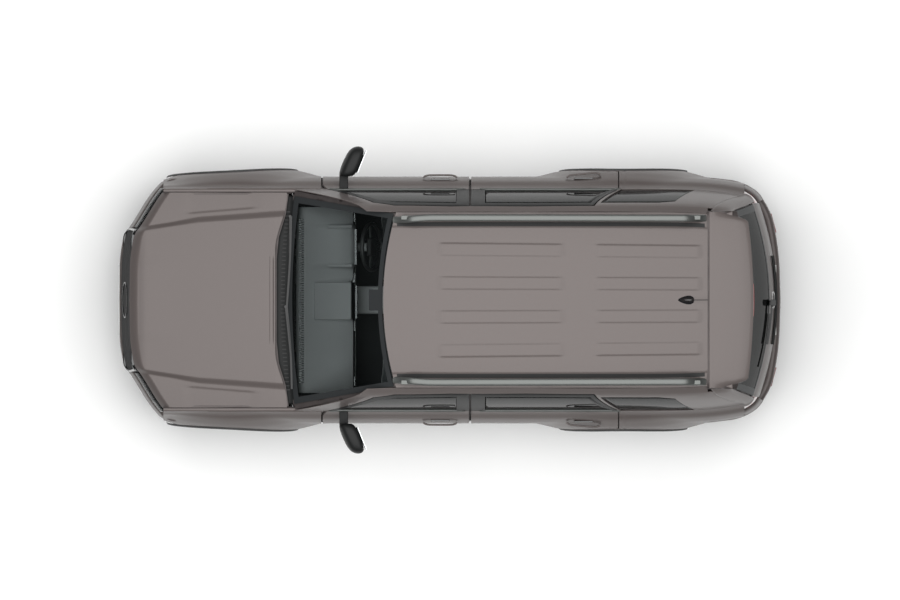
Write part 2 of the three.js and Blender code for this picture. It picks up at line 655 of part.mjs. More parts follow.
const leftKnuckle = joined(
  box([frontAxleX - 40, kingpinY - 34, 312], [frontAxleX + 40, kingpinY + 26, 580]),
  cylinderAcross(frontAxleX, wheelZ, 34, kingpinY, kingpinY + 62, 16),
);

// ---------------------------------------------------------------- wheels
function lathe(profile, facets, x, y) {
  const points = profile.map(([r, side]) => new THREE.Vector2(r, side));
  const turned = new THREE.LatheGeometry(points, facets).rotateY(Math.PI / facets);
  return toSolid(turned.translate(x, y, wheelZ));
}

const tyreProfile = [
  [rimRadius, -98], [rimRadius + 70, -tyreWidth / 2], [tyreRadius - 30, -118], [tyreRadius, -88],
  [tyreRadius, 88], [tyreRadius - 30, 118], [rimRadius + 70, tyreWidth / 2], [rimRadius, 98], [rimRadius, -98],
];
const rimProfile = [
  [0, 44], [72, 44], [200, 86], [rimRadius - 0.5, 97], [rimRadius - 0.5, -97],
  [rimRadius - 22, -97], [rimRadius - 30, 58], [72, 14], [0, 14],
];

// ---------------------------------------------------------------- cabin
const dashboard = toSolid(acrossPrism([
  [bulkheadX - 14, 700], [bulkheadX - 14, 1095], [bulkheadX - 300, 1110], [bulkheadX - 430, 1085],
  [bulkheadX - 450, 980], [bulkheadX - 330, 760], [bulkheadX - 200, 700],
], -690, 690));

const steeringWheelCentre = [582, -393, 1010];
const steeringTilt = 0.42;        // the column's slope, in radians from level

function makeSteeringWheel() {
  const rim = toSolid(new THREE.TorusGeometry(172, 15, 6, 20));
  const hub = toSolid(new THREE.CylinderGeometry(52, 60, 50, 10).rotateX(Math.PI / 2));
  const spokes = [0, 2.3, -2.3].map((turn) => toSolid(
    new THREE.BoxGeometry(36, 132, 16).translate(0, -102, 0).rotateZ(turn),
  ));
  const whole = toGeometry(joined(rim, hub, ...spokes));
  return whole.rotateZ(-Math.PI / 2).rotateY(-Math.PI / 2 + steeringTilt).translate(...steeringWheelCentre);
}

function seat(x, y, halfWidth, baseZ, backTop) {
  const profile = [
    [x + 250, baseZ + 150], [x + 270, baseZ + 250], [x + 230, baseZ + 290], [x - 180, baseZ + 250],
    [x - 380, baseZ + backTop - 10], [x - 440, baseZ + backTop], [x - 470, baseZ + backTop - 30],
    [x - 290, baseZ + 130],
  ];
  return joined(
    toSolid(acrossPrism(profile, y - halfWidth, y + halfWidth)),
    box([x - 220, y - halfWidth + 60, baseZ + 2], [x + 200, y + halfWidth - 60, baseZ + 180]),
  );
}

// ---------------------------------------------------------------- mirrors and roof rails
const leftMirror = (() => {
  const head = [
    [doorFrontX - 320, 0], [doorFrontX - 250, 0], [doorFrontX - 110, 70], [doorFrontX - 90, 170],
    [doorFrontX - 170, 215], [doorFrontX - 300, 215], [doorFrontX - 330, 120],
  ];
  const outer = 1141;
  const inner = 925;
  return joined(
    toSolid(acrossPrism(head.map(([x, z]) => [x, z + beltZ - 35]), inner, outer)),
    box([doorFrontX - 200, waistHalf - beltInset + 14, beltZ - 20], [doorFrontX - 120, inner + 10, beltZ + 30]),
  );
})();

function makeRoofRail() {
  const ends = [screenTopX - 80, tailHingeX + 20];
  const top = (x) => height - 5 - 26 * ((x - (ends[0] + ends[1]) / 2) / (ends[0] - ends[1])) ** 2;
  const middle = (ends[0] + ends[1]) / 2;
  const foot = (x) => crownZ(x) - 39;
  const profile = [
    [ends[0], foot(ends[0])], [ends[0] - 60, top(ends[0] - 60) - 4], [ends[0] - 300, top(ends[0] - 300)],
    [middle + 200, height], [middle - 200, height], [ends[1] + 300, top(ends[1] + 300)],
    [ends[1] + 60, top(ends[1] + 60) - 4], [ends[1], foot(ends[1])], [ends[1] + 220, foot(ends[1] + 220)],
    [ends[1] + 260, top(ends[1] + 260) - 32], [middle - 60, height - 32], [middle - 40, foot(middle)],
    [middle + 40, foot(middle)], [middle + 60, height - 32], [ends[0] - 260, top(ends[0] - 260) - 32],
    [ends[0] - 220, foot(ends[0] - 220)],
  ];
  return toSolid(acrossPrism(profile, 590, 632));
}

// ---------------------------------------------------------------- the car
const car = new THREE.Group();

function finish(color, roughness, metalness) {
  return new THREE.MeshStandardMaterial({ color, roughness, metalness });
}

const paint = finish(0x837a78, 0.35, 0.6);
const glass = finish(0x33393a, 0.08, 0);
const blackPlastic = finish(0x1c1c1d, 0.6, 0);
const trim = finish(0x3c3d3e, 0.5, 0.1);
const steel = finish(0x2a2b2c, 0.6, 0.7);
const tyreRubber = finish(0x161617, 0.85, 0);
const alloy = finish(0x8d8f92, 0.3, 0.9);
const lens = finish(0xc9ced2, 0.1, 0);
const redLens = finish(0x7a1a16, 0.15, 0);
const cloth = finish(0x2b2c2e, 0.9, 0);

function add(name, shape, material) {
  const geometry = shape.isBufferGeometry ? shape : toGeometry(shape);
  const mesh = new THREE.Mesh(geometry, material);
  mesh.name = name;
  car.add(mesh);
  return mesh;
}

// The other side's copy of a piece.
function mirrored(geometry) {
  const copy = geometry.clone().scale(1, -1, 1);
  const index = copy.getIndex();
  for (let i = 0; i < index.count; i += 3) {
    const swap = index.getX(i);
    index.setX(i, index.getX(i + 1));
    index.setX(i + 1, swap);
  }
  copy.computeVertexNormals();
  return copy;
}

function addPair(name, solid, material) {
  const left = toGeometry(solid);
  add(`left_${name}`, left, material);
  add(`right_${name}`, mirrored(left), material);
}

add('ladder_frame', makeLadderFrame(), steel);
add('floor_pan', makeFloor(), paint);
add('bulkhead', bulkhead, paint);
addPair('side_frame', leftSideFrame, paint);
add('roof_panel', makeRoof(), paint);
add('windscreen', windscreen, glass);
addPair('front_wing', leftWing, paint);
add('front_bumper', frontBumper, paint);
add('grille', grille, blackPlastic);
addPair('headlamp', leftHeadlamp, lens);
add('rear_bumper', rearBumper, paint);
addPair('tail_lamp', leftTailLamp, redLens);
addPair('quarter_glass', leftQuarterGlass, glass);
addPair('roof_rail', makeRoofRail(), trim);
add('dashboard', dashboard, trim);
add('left_front_seat', seat(230, 393, 260, floorZ, 860), cloth);
add('right_front_seat', seat(230, -393, 260, floorZ, 860), cloth);
add('second_row_seat', seat(-590, 0, 640, floorZ, 860), cloth);
add('third_row_seat', seat(-1380, 0, 500, loadFloorZ, 700), cloth);
add('engine_block', engineBlock, steel);
add('front_suspension', frontSuspension, steel);
add('rear_axle', makeRearAxle(), steel);
add('gearbox', gearbox, steel);
add('propeller_shaft', propShaft, steel);
add('exhaust', exhaust, steel);
add('spare_wheel', spareWheel, tyreRubber);
add('fuel_tank', fuelTank, blackPlastic);
addPair('steering_knuckle', leftKnuckle, steel);

for (const [end, x] of [['front', frontAxleX], ['rear', rearAxleX]]) {
  addPair(`${end}_tyre`, lathe(tyreProfile, tyreFacets, x, track / 2), tyreRubber);
  addPair(`${end}_rim`, lathe(rimProfile, tyreFacets, x, track / 2), alloy);
}

addPair('front_door', leftFrontDoor, paint);
addPair('rear_door', leftRearDoor, paint);
addPair('front_door_glass', leftFrontGlass, glass);
addPair('rear_door_glass', leftRearGlass, glass);
addPair('door_mirror', leftMirror, blackPlastic);
add('bonnet', bonnet, paint);
add('tailgate', tailgate, paint);
add('tailgate_glass', tailGlass, glass);
add('steering_wheel', makeSteeringWheel(), blackPlastic);

export default car;
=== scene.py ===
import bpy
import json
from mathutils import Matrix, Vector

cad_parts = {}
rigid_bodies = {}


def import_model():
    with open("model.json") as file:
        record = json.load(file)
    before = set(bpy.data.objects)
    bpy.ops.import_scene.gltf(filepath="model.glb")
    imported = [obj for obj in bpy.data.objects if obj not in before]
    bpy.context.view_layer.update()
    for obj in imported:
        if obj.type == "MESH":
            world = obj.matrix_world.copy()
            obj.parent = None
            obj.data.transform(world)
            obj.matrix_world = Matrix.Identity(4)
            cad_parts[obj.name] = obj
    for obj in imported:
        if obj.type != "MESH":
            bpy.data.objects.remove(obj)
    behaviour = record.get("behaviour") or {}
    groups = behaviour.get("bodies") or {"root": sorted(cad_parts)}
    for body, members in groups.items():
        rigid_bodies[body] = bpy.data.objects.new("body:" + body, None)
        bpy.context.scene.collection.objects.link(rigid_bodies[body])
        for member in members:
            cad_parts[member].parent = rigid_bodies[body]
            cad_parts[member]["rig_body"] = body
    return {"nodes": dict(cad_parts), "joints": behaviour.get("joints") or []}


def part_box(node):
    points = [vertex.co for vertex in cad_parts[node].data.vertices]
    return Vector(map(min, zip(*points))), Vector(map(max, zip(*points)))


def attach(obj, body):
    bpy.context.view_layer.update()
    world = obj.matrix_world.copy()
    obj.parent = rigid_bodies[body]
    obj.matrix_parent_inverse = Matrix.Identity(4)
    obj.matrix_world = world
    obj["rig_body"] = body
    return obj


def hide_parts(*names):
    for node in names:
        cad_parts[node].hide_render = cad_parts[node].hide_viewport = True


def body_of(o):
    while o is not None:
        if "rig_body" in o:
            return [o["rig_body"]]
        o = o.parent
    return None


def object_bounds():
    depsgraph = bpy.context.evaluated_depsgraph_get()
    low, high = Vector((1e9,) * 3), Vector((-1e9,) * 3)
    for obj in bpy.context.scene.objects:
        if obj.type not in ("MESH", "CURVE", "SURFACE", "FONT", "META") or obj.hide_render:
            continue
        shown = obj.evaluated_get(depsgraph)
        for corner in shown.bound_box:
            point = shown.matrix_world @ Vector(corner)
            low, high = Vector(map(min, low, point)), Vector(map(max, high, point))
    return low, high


bl_info = {
    "name": "Off-road estate car",
    "version": (1, 0, 0),
    "blender": (4, 5, 0),
    "location": "View3D > Sidebar > Estate car",
    "description": "Builds the looks of a seven-seat off-road estate car around its packed frame",
    "category": "Object",
}

import json
import math

import bmesh
import bpy
import numpy as np
import mathutils

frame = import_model()
CAD_BOX = [list(corner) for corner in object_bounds()]

# ---------------------------------------------------------------- places read from the frame, in metres
JOINTS = {joint["name"]: joint for joint in frame["joints"]}
TAIL, NOSE = CAD_BOX[0][0], CAD_BOX[1][0]
HEIGHT = CAD_BOX[1][2]
FRONT_AXLE, TRACK_HALF, WHEEL_Z = JOINTS["left_front_wheel_spin"]["pos_m"]
REAR_AXLE = JOINTS["left_rear_wheel_spin"]["pos_m"][0]
DOOR_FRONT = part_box("left_front_door")[1].x
DOOR_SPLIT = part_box("left_front_door")[0].x
DOOR_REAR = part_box("left_rear_door")[0].x
REAR_DOOR_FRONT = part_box("left_rear_door")[1].x
SILL_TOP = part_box("left_front_door")[0].z
SILL_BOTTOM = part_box("left_side_frame")[0].z
QUARTER_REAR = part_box("left_side_frame")[0].x
TAIL_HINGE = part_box("roof_panel")[0].x - 0.008
BONNET_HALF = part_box("bonnet")[1].y
SCREEN_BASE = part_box("windscreen")[1].x
SCREEN_TOP = FRONT_AXLE - 1.104
SCREEN_HALF = 0.771
SCREEN_BOW = 0.052       # how far the windscreen's ends stand behind its middle
BONNET_REAR = FRONT_AXLE - 0.31
WING_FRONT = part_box("left_front_wing")[1].x
TYRE_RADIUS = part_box("left_front_tyre")[1].x - FRONT_AXLE
TYRE_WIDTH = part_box("left_front_tyre")[1].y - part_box("left_front_tyre")[0].y

# ---------------------------------------------------------------- body sizes, in metres
WAIST_HALF = 0.914       # half-width of the doors at their widest
WAIST_Z = 0.8
BELT = 1.13
ROOF = HEIGHT - 0.042
BELT_SEAM = BELT + 0.012     # where the skins below the windows end and their frames start
GLASS_FOOT = BELT + 0.022    # lower edge of the quarter glass
CANT_DROP = 0.062        # cant rail below the roof crown
RAIL_DEPTH = 0.054       # lower edge of the cant rail's skin below the cant rail
WINDOW_TOP = 0.108       # upper edge of the side windows below the cant rail
QUARTER_MIDDLE = DOOR_REAR - 0.3         # a station half-way along the quarter glass
REAR_DOOR_BEND = REAR_DOOR_FRONT - 0.42  # a station in the middle of the rear door's frame
NOSE_DRAW = 0.085
TAIL_DRAW = 0.15
BELT_INSET = 0.09
CABIN_LEAN = 0.172
ARCH_RADIUS = 0.44
BAND_RADIUS = ARCH_RADIUS + 0.074        # outer edge of the quarter's band round the rear arch
FLARE_FRONT = 0.056
FLARE_REAR = 0.05
FLARE_REACH = 0.3
WING_CROWN = 0.018
GAP = 0.004              # half of a shut line as it shows
PROUD = 0.002            # how far a skin stands off the plain surface


# ---------------------------------------------------------------- curves and surfaces
def rise(value, low, high):
    """0 below low, 1 above high, and a straight line between."""
    return np.clip((value - low) / (high - low), 0.0, 1.0)


def ramp(value, low, high):
    """rise, eased as t squared times (3 - 2t)."""
    t = rise(value, low, high)
    return t * t * (3 - 2 * t)


def smooth_line(points):
    """A function through [input, output] points: cubic Hermite pieces whose slope at a point is the
    harmonic mean of the slopes beside it, so that it never overshoots, held level at both ends."""
    xs, ys = np.array(points, float).T
    steps = np.diff(xs)
    slopes = np.diff(ys) / steps
    product = slopes[:-1] * slopes[1:]
    total = np.where(product > 0, slopes[:-1] + slopes[1:], 1.0)
    tangents = np.zeros_like(xs)
    tangents[1:-1] = np.where(product > 0, 2 * product / total, 0.0)
    tangents[0], tangents[-1] = slopes[0], slopes[-1]

    def at(value):
        inside = np.clip(value, xs[0], xs[-1])
        k = np.clip(np.searchsorted(xs, inside) - 1, 0, len(steps) - 1)
        t = (inside - xs[k]) / steps[k]
        rest = 1 - t
        return (
            (1 + 2 * t) * rest**2 * ys[k]
            + t * rest**2 * steps[k] * tangents[k]
            + t * t * (3 - 2 * t) * ys[k + 1]
            - t * t * rest * steps[k] * tangents[k + 1]
        )

    return at


def plan_half(x):
    """Half-width at the waist: the doors' half-width, less a square law to the nose and a fourth power
    to the tail."""
    ahead = rise(x, DOOR_FRONT, NOSE)
    behind = rise(-x, -REAR_AXLE, -TAIL)
    return WAIST_HALF - NOSE_DRAW * ahead**2 - TAIL_DRAW * behind**4


def wing_top(x):
    """Height of the wing's top edge: the belt, falling on an eased line to the nose."""
    return BELT + 0.014 - 0.082 * ramp(x, DOOR_FRONT, NOSE)


def crown(x):
    """Roof crown: two square laws that fall from one peak to the windscreen and to the tail."""
    peak = -0.3
    front = np.maximum(0, (x - peak) / (SCREEN_TOP - peak))
    rear = np.maximum(0, (peak - x) / (peak - TAIL_HINGE))
    return ROOF - 0.037 * front**2 - 0.047 * rear**2


def cant(x):
    """Height of the cant rail beside the roof."""
    return crown(x) - CANT_DROP


LOWER_INSET = smooth_line([
    [SILL_BOTTOM, 0.055], [SILL_TOP, 0.02], [WAIST_Z - 0.2, 0.005], [WAIST_Z, 0.0],
    [WAIST_Z + 0.11, 0.005], [BELT - 0.12, 0.026], [BELT - 0.08, 0.042], [BELT - 0.05, 0.066],
    [BELT, BELT_INSET],
])
UPPER_INSET = smooth_line([[0, 0], [0.25, 0.145], [0.5, 0.31], [0.86, 0.66], [1, 1]])


def side_inset(x, z):
    """How far the side lies inside the waist: one smooth line up to the belt, another above it. Ahead of
    the doors the first is stretched to the wing's top edge and narrowed to meet the bonnet."""
    ahead = x > DOOR_FRONT
    stretch = np.where(ahead, BELT / wing_top(x), 1.0)
    narrow = np.where(ahead, (plan_half(x) - BONNET_HALF - 0.008 - WING_CROWN) / BELT_INSET, 1.0)
    lower = narrow * LOWER_INSET(z * stretch)
    up = rise(z, BELT, cant(x))
    return np.where(z * stretch <= BELT, lower, BELT_INSET * narrow + CABIN_LEAN * UPPER_INSET(up))


def flare(x, z):
    """How far the wheel arches push the side out: an eased fall with distance from each axle."""
    total = 0.0
    for axle, out in ((FRONT_AXLE, FLARE_FRONT), (REAR_AXLE, FLARE_REAR)):
        away = np.hypot(x - axle, z - WHEEL_Z)
        total = total + out * ramp(-away, -ARCH_RADIUS - FLARE_REACH, -ARCH_RADIUS - 0.02)
    return total


def side_half(x, z):
    """Half-width of the body side at station x and height z."""
    return plan_half(x) - side_inset(x, z) + flare(x, z)


NOSE_BOW = smooth_line([[0, 0], [0.25, 0.004], [0.475, 0.034], [0.55, 0.084], [0.861, 0.299],
                        [0.905, 0.37], [0.93, 0.42]])


def nose_x(y, z):
    """Front of the car: a bow across its width, leaning back above the bumper."""
    return NOSE - NOSE_BOW(np.abs(y)) - 0.07 * ramp(z, 0.62, 1.08)


def bonnet_rear(y):
    """Rear edge of the bonnet: straight in the middle, and set back towards the sides on an eased step."""
    return BONNET_REAR - 0.088 * ramp(np.abs(y), 0.371, SCREEN_HALF)


def screen_base(y):
    """Foot of the windscreen, bowed back towards its ends by a square law."""
    return SCREEN_BASE - SCREEN_BOW * (y / SCREEN_HALF) ** 2


def tail_bow(y):
    """How far the rear surfaces curve forward towards their sides: a square law."""
    return 0.247 * y * y


# ---------------------------------------------------------------- mesh making
def quads_of(rows, columns, wrap_rows=False, wrap_columns=False, start=0):
    """Corner numbers of the quads of a grid of rows by columns points."""
    r = np.arange(rows if wrap_rows else rows - 1)
    c = np.arange(columns if wrap_columns else columns - 1)
    i, j = np.meshgrid(r, c, indexing="ij")
    i2, j2 = (i + 1) % rows, (j + 1) % columns
    corners = [i * columns + j, i2 * columns + j, i2 * columns + j2, i * columns + j2]
    return np.stack(corners, -1).reshape(-1, 4) + start


class Shape:
    """Collects grids of points, and the faces between them, for one mesh."""

    def __init__(self):
        self.points, self.faces, self.count, self.closed = [], [], 0, True

    def grid(self, points, wrap_rows=False, wrap_columns=False, capped=False):
        """Adds a grid of points with quads between them, and faces over its first and last rows if capped."""
        rows, columns = points.shape[:2]
        faces = quads_of(rows, columns, wrap_rows, wrap_columns, self.count)
        self.faces += faces.tolist()
        if capped:
            first = np.arange(columns) + self.count
            self.faces += [first.tolist(), (first + (rows - 1) * columns)[::-1].tolist()]
        self.points.append(points.reshape(-1, 3))
        self.count += rows * columns
        self.closed = self.closed and (wrap_rows or wrap_columns)
        return self

    def tube(self, points):
        """Adds a grid that wraps across its columns and is capped at both ends."""
        return self.grid(points, wrap_columns=True, capped=True)

    def lathed(self, points):
        """Adds a grid that wraps across its rows, from a profile that starts and ends on its axis."""
        return self.grid(points, wrap_rows=True)

    def ring(self, points):
        """Adds a grid that wraps both ways."""
        return self.grid(points, wrap_rows=True, wrap_columns=True)


def solid_of(points):
    """A Shape of one tube."""
    return Shape().tube(points)


def make_piece(
    name, shape, material, body, slot, replaces=(), solid=0.0, bevel=0.0, levels=0, sharp=35.0,
    away=(0, 0, 0.8)
):
    """Puts a Shape into an object, merges its doubles, turns its faces outwards, and finishes it with
    modifiers. An open sheet faces away from the point away."""
    mesh = bpy.data.meshes.new(name)
    mesh.from_pydata(np.concatenate(shape.points).tolist(), [], shape.faces)
    work = bmesh.new()
    work.from_mesh(mesh)
    bmesh.ops.remove_doubles(work, verts=work.verts, dist=2e-5)
    bmesh.ops.dissolve_degenerate(work, edges=work.edges, dist=1e-6)
    bmesh.ops.recalc_face_normals(work, faces=work.faces)
    if not shape.closed:
        facing_out(work, away)
    work.to_mesh(mesh)
    work.free()
    mesh.shade_smooth()
    if not (solid or levels):
        mesh.set_sharp_from_angle(angle=math.radians(sharp))
    mesh.materials.append(material)
    piece = bpy.data.objects.new(name, mesh)
    bpy.context.scene.collection.objects.link(piece)
    if solid:
        add_modifier(piece, "SOLIDIFY", thickness=solid, offset=-1.0, use_even_offset=False)
    if bevel:
        add_modifier(piece, "BEVEL", width=bevel, segments=2, limit_method="ANGLE",
                     angle_limit=math.radians(40), harden_normals=True)
    if levels:
        add_modifier(piece, "SUBSURF", levels=levels, render_levels=levels)
    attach(piece, body)
    if replaces:
        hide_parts(*replaces)
    return piece


def add_modifier(piece, kind, **settings):
    """Adds a modifier of a kind with its settings to a piece."""
    modifier = piece.modifiers.new(kind.title(), kind)
    for key, value in settings.items():
        setattr(modifier, key, value)
    return modifier


def between(a, b, count):
    """count points on the straight line from a to b."""
    t = np.linspace(0, 1, count)[:, None]
    return np.array(a, float) * (1 - t) + np.array(b, float) * t


def along(points, count):
    """count points at even steps along straight pieces through the given points."""
    points = np.array(points, float)
    reach = np.concatenate([[0], np.cumsum(np.linalg.norm(np.diff(points, axis=0), axis=1))])
    steps = np.linspace(0, reach[-1], count)
    return np.stack([np.interp(steps, reach, points[:, k]) for k in range(points.shape[1])], 1)


def rounded(points, radius, steps=6, closed=False):
    """The same line with each corner replaced by a parabola that starts and ends radius away from it."""
    points = np.array(points, float)
    count = len(points)
    line = []
    for i in range(count):
        if not closed and i in (0, count - 1):
            line.append(points[i])
            continue
        before, after = points[i - 1] - points[i], points[(i + 1) % count] - points[i]
        reach = min(radius, np.linalg.norm(before) / 2.1, np.linalg.norm(after) / 2.1)
        a = points[i] + before / np.linalg.norm(before) * reach
        b = points[i] + after / np.linalg.norm(after) * reach
        for t in np.linspace(0, 1, steps + 1):
            line.append((1 - t) ** 2 * a + 2 * t * (1 - t) * points[i] + t * t * b)
    return np.array(line)


def arc(centre, radius, start, end, count):
    """count points of a circle, between two angles in degrees."""
    angles = np.radians(np.linspace(start, end, count))
    return np.array(centre) + radius * np.stack([np.cos(angles), np.sin(angles)], 1)


def coons(bottom, top, left, right):
    """The patch inside four lines: the mean of the lines across and the lines up, less the mean of the
    corners. left runs from bottom's start to top's start, and right from bottom's end to top's end."""
    u = np.linspace(0, 1, len(bottom))[:, None, None]
    v = np.linspace(0, 1, len(left))[None, :, None]
    across = (1 - v) * bottom[:, None] + v * top[:, None]
    upward = (1 - u) * left[None] + u * right[None]
    corners = (1 - u) * ((1 - v) * bottom[0] + v * top[0]) + u * ((1 - v) * bottom[-1] + v * top[-1])
    return across + upward - corners


def on_side(spots, depth=0.0):
    """Places [x, z] spots on the left body side, a depth under its surface."""
    x, z = spots[..., 0], spots[..., 1]
    return np.stack([x, side_half(x, z) + PROUD - depth, z], -1)


def ring_between(outer, inner, steps):
    """The strip between two lines that have equally many points."""
    t = np.linspace(0, 1, steps)[None, :, None]
    return outer[:, None] * (1 - t) + inner[:, None] * t


def sweep(path, section, up=(0, 0, 1)):
    """A closed section of [side, up] points carried along a path: at each point its axes are the path's
    direction crossed with up, and that crossed with the direction."""
    path = np.array(path, float)
    ahead = np.gradient(path, axis=0)
    ahead /= np.linalg.norm(ahead, axis=1, keepdims=True)
    side = np.cross(ahead, np.array(up, float))
    side /= np.linalg.norm(side, axis=1, keepdims=True)
    above = np.cross(side, ahead)
    section = np.array(section, float)[None]
    return path[:, None] + side[:, None] * section[..., :1] + above[:, None] * section[..., 1:]


def circle_section(radius, count=12):
    """Points of a round section."""
    turn = np.linspace(0, 2 * np.pi, count, endpoint=False)
    return np.stack([np.cos(turn), np.sin(turn)], 1) * radius


def box_section(width, height, corner=0.002):
    """Points of a rectangular section with cut corners."""
    w, h, c = width / 2, height / 2, corner
    return np.array([
        [w, h - c], [w - c, h], [-w + c, h], [-w, h - c], [-w, -h + c], [-w + c, -h], [w - c, -h],
        [w, -h + c],
    ])


def turned(profile, centre, count=96):
    """A profile of [radius, sideways] points turned about the line through centre along Y."""
    profile = np.array(profile, float)
    angle = np.linspace(0, 2 * np.pi, count, endpoint=False)
    x = centre[0] + profile[None, :, 0] * np.cos(angle)[:, None]
    z = centre[2] + profile[None, :, 0] * np.sin(angle)[:, None]
    y = centre[1] + np.broadcast_to(profile[None, :, 1], x.shape)
    return np.stack([x, y, z], -1)


def rounded_box(low, high, corner, steps=3):
    """A box with rounded edges: a sphere's directions, each moved out to the box's inner corners, with the
    corner radius round them."""
    count = 4 * steps
    turn = np.linspace(0, 2 * np.pi, count, endpoint=False) + np.pi / count
    tilt = np.linspace(-np.pi / 2, np.pi / 2, 2 * steps)
    low, high = np.array(low, float), np.array(high, float)
    middle, inner = (low + high) / 2, (high - low) / 2 - corner
    across = np.stack([
        np.cos(tilt)[:, None] * np.cos(turn)[None],
        np.cos(tilt)[:, None] * np.sin(turn)[None],
        np.broadcast_to(np.sin(tilt)[:, None], (len(tilt), count)),
    ], -1)
    signs = np.sign(np.round(across, 6))
    signs[..., 2] = np.where(tilt < 0, -1, 1)[:, None]
    return middle + signs * inner + across * corner


def facing_out(mesh_work, away):
    """Turns every face over if, on the whole, they look towards the point away."""
    middle = mathutils.Vector(away)
    if sum((face.calc_center_median() - middle).dot(face.normal) * face.calc_area()
           for face in mesh_work.faces) < 0:
        bmesh.ops.reverse_faces(mesh_work, faces=mesh_work.faces)


def sides():
    """The two sides of the car, each with its name and the sign of its Y."""
    return (("left", 1), ("right", -1))


def pair(name, grids, material, body, slot, replaces=(), away=(0, 0, 0.8), add=Shape.grid, **finish):
    """Makes a piece on both sides of the car, from grids that are put into a Shape by the method add.
    {side} in a name stands for left or right."""
    for side, sign in sides():
        shape = Shape()
        for grid in grids:
            add(shape, grid)
        shape.points = [points * [1, sign, 1] for points in shape.points]
        nodes = [node.format(side=side) for node in replaces]
        middle = (away[0], sign * away[1], away[2])
        make_piece(name.format(side=side), shape, material, body.format(side=side), slot, nodes,
                   away=middle, **finish)


def core_of(node, shift, material, name=None):
    """The frame's own solid as the inner structure behind a smooth skin: a merged copy, moved in by shift
    metres along each axis towards the middle of the car in Y, and by the plain shift in X and Z."""
    source = frame["nodes"][node]
    mesh = source.data.copy()
    mesh.materials.clear()
    spots = np.empty(len(mesh.vertices) * 3)
    mesh.vertices.foreach_get("co", spots)
    spots = spots.reshape(-1, 3)
    spots += np.stack([np.full(len(spots), shift[0]), -np.sign(spots[:, 1]) * shift[1],
                       np.full(len(spots), shift[2])], 1)
    mesh.vertices.foreach_set("co", spots.ravel())
    work = bmesh.new()
    work.from_mesh(mesh)
    bmesh.ops.remove_doubles(work, verts=work.verts, dist=1e-5)
    bmesh.ops.recalc_face_normals(work, faces=work.faces)
    work.to_mesh(mesh)
    work.free()
    mesh.shade_smooth()
    mesh.set_sharp_from_angle(angle=math.radians(28))
    mesh.materials.append(material)
    piece = bpy.data.objects.new(name or node + "_core", mesh)
    bpy.context.scene.collection.objects.link(piece)
    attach(piece, body_of(source)[0])
    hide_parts(node)
    return piece


# ---------------------------------------------------------------- materials
def linear(code):
    """An sRGB colour code as linear red, green, blue and 1: each channel c is c / 12.92 up to 0.04045, and
    ((c + 0.055) / 1.055) to the power 2.4 above it."""
    channels = [int(code[i:i + 2], 16) / 255 for i in (1, 3, 5)]
    return [c / 12.92 if c <= 0.04045 else ((c + 0.055) / 1.055) ** 2.4 for c in channels] + [1.0]


def add_node(tree, kind, links=(), **values):
    """Adds a shader node, sets its sockets and settings, and links [from socket, to socket name] pairs."""
    node = tree.nodes.new(kind)
    for key, value in values.items():
        if key.replace("_", " ") in node.inputs:
            node.inputs[key.replace("_", " ")].default_value = value
        else:
            setattr(node, key, value)
    for socket, target in links:
        tree.links.new(socket, node.inputs[target])
    return node


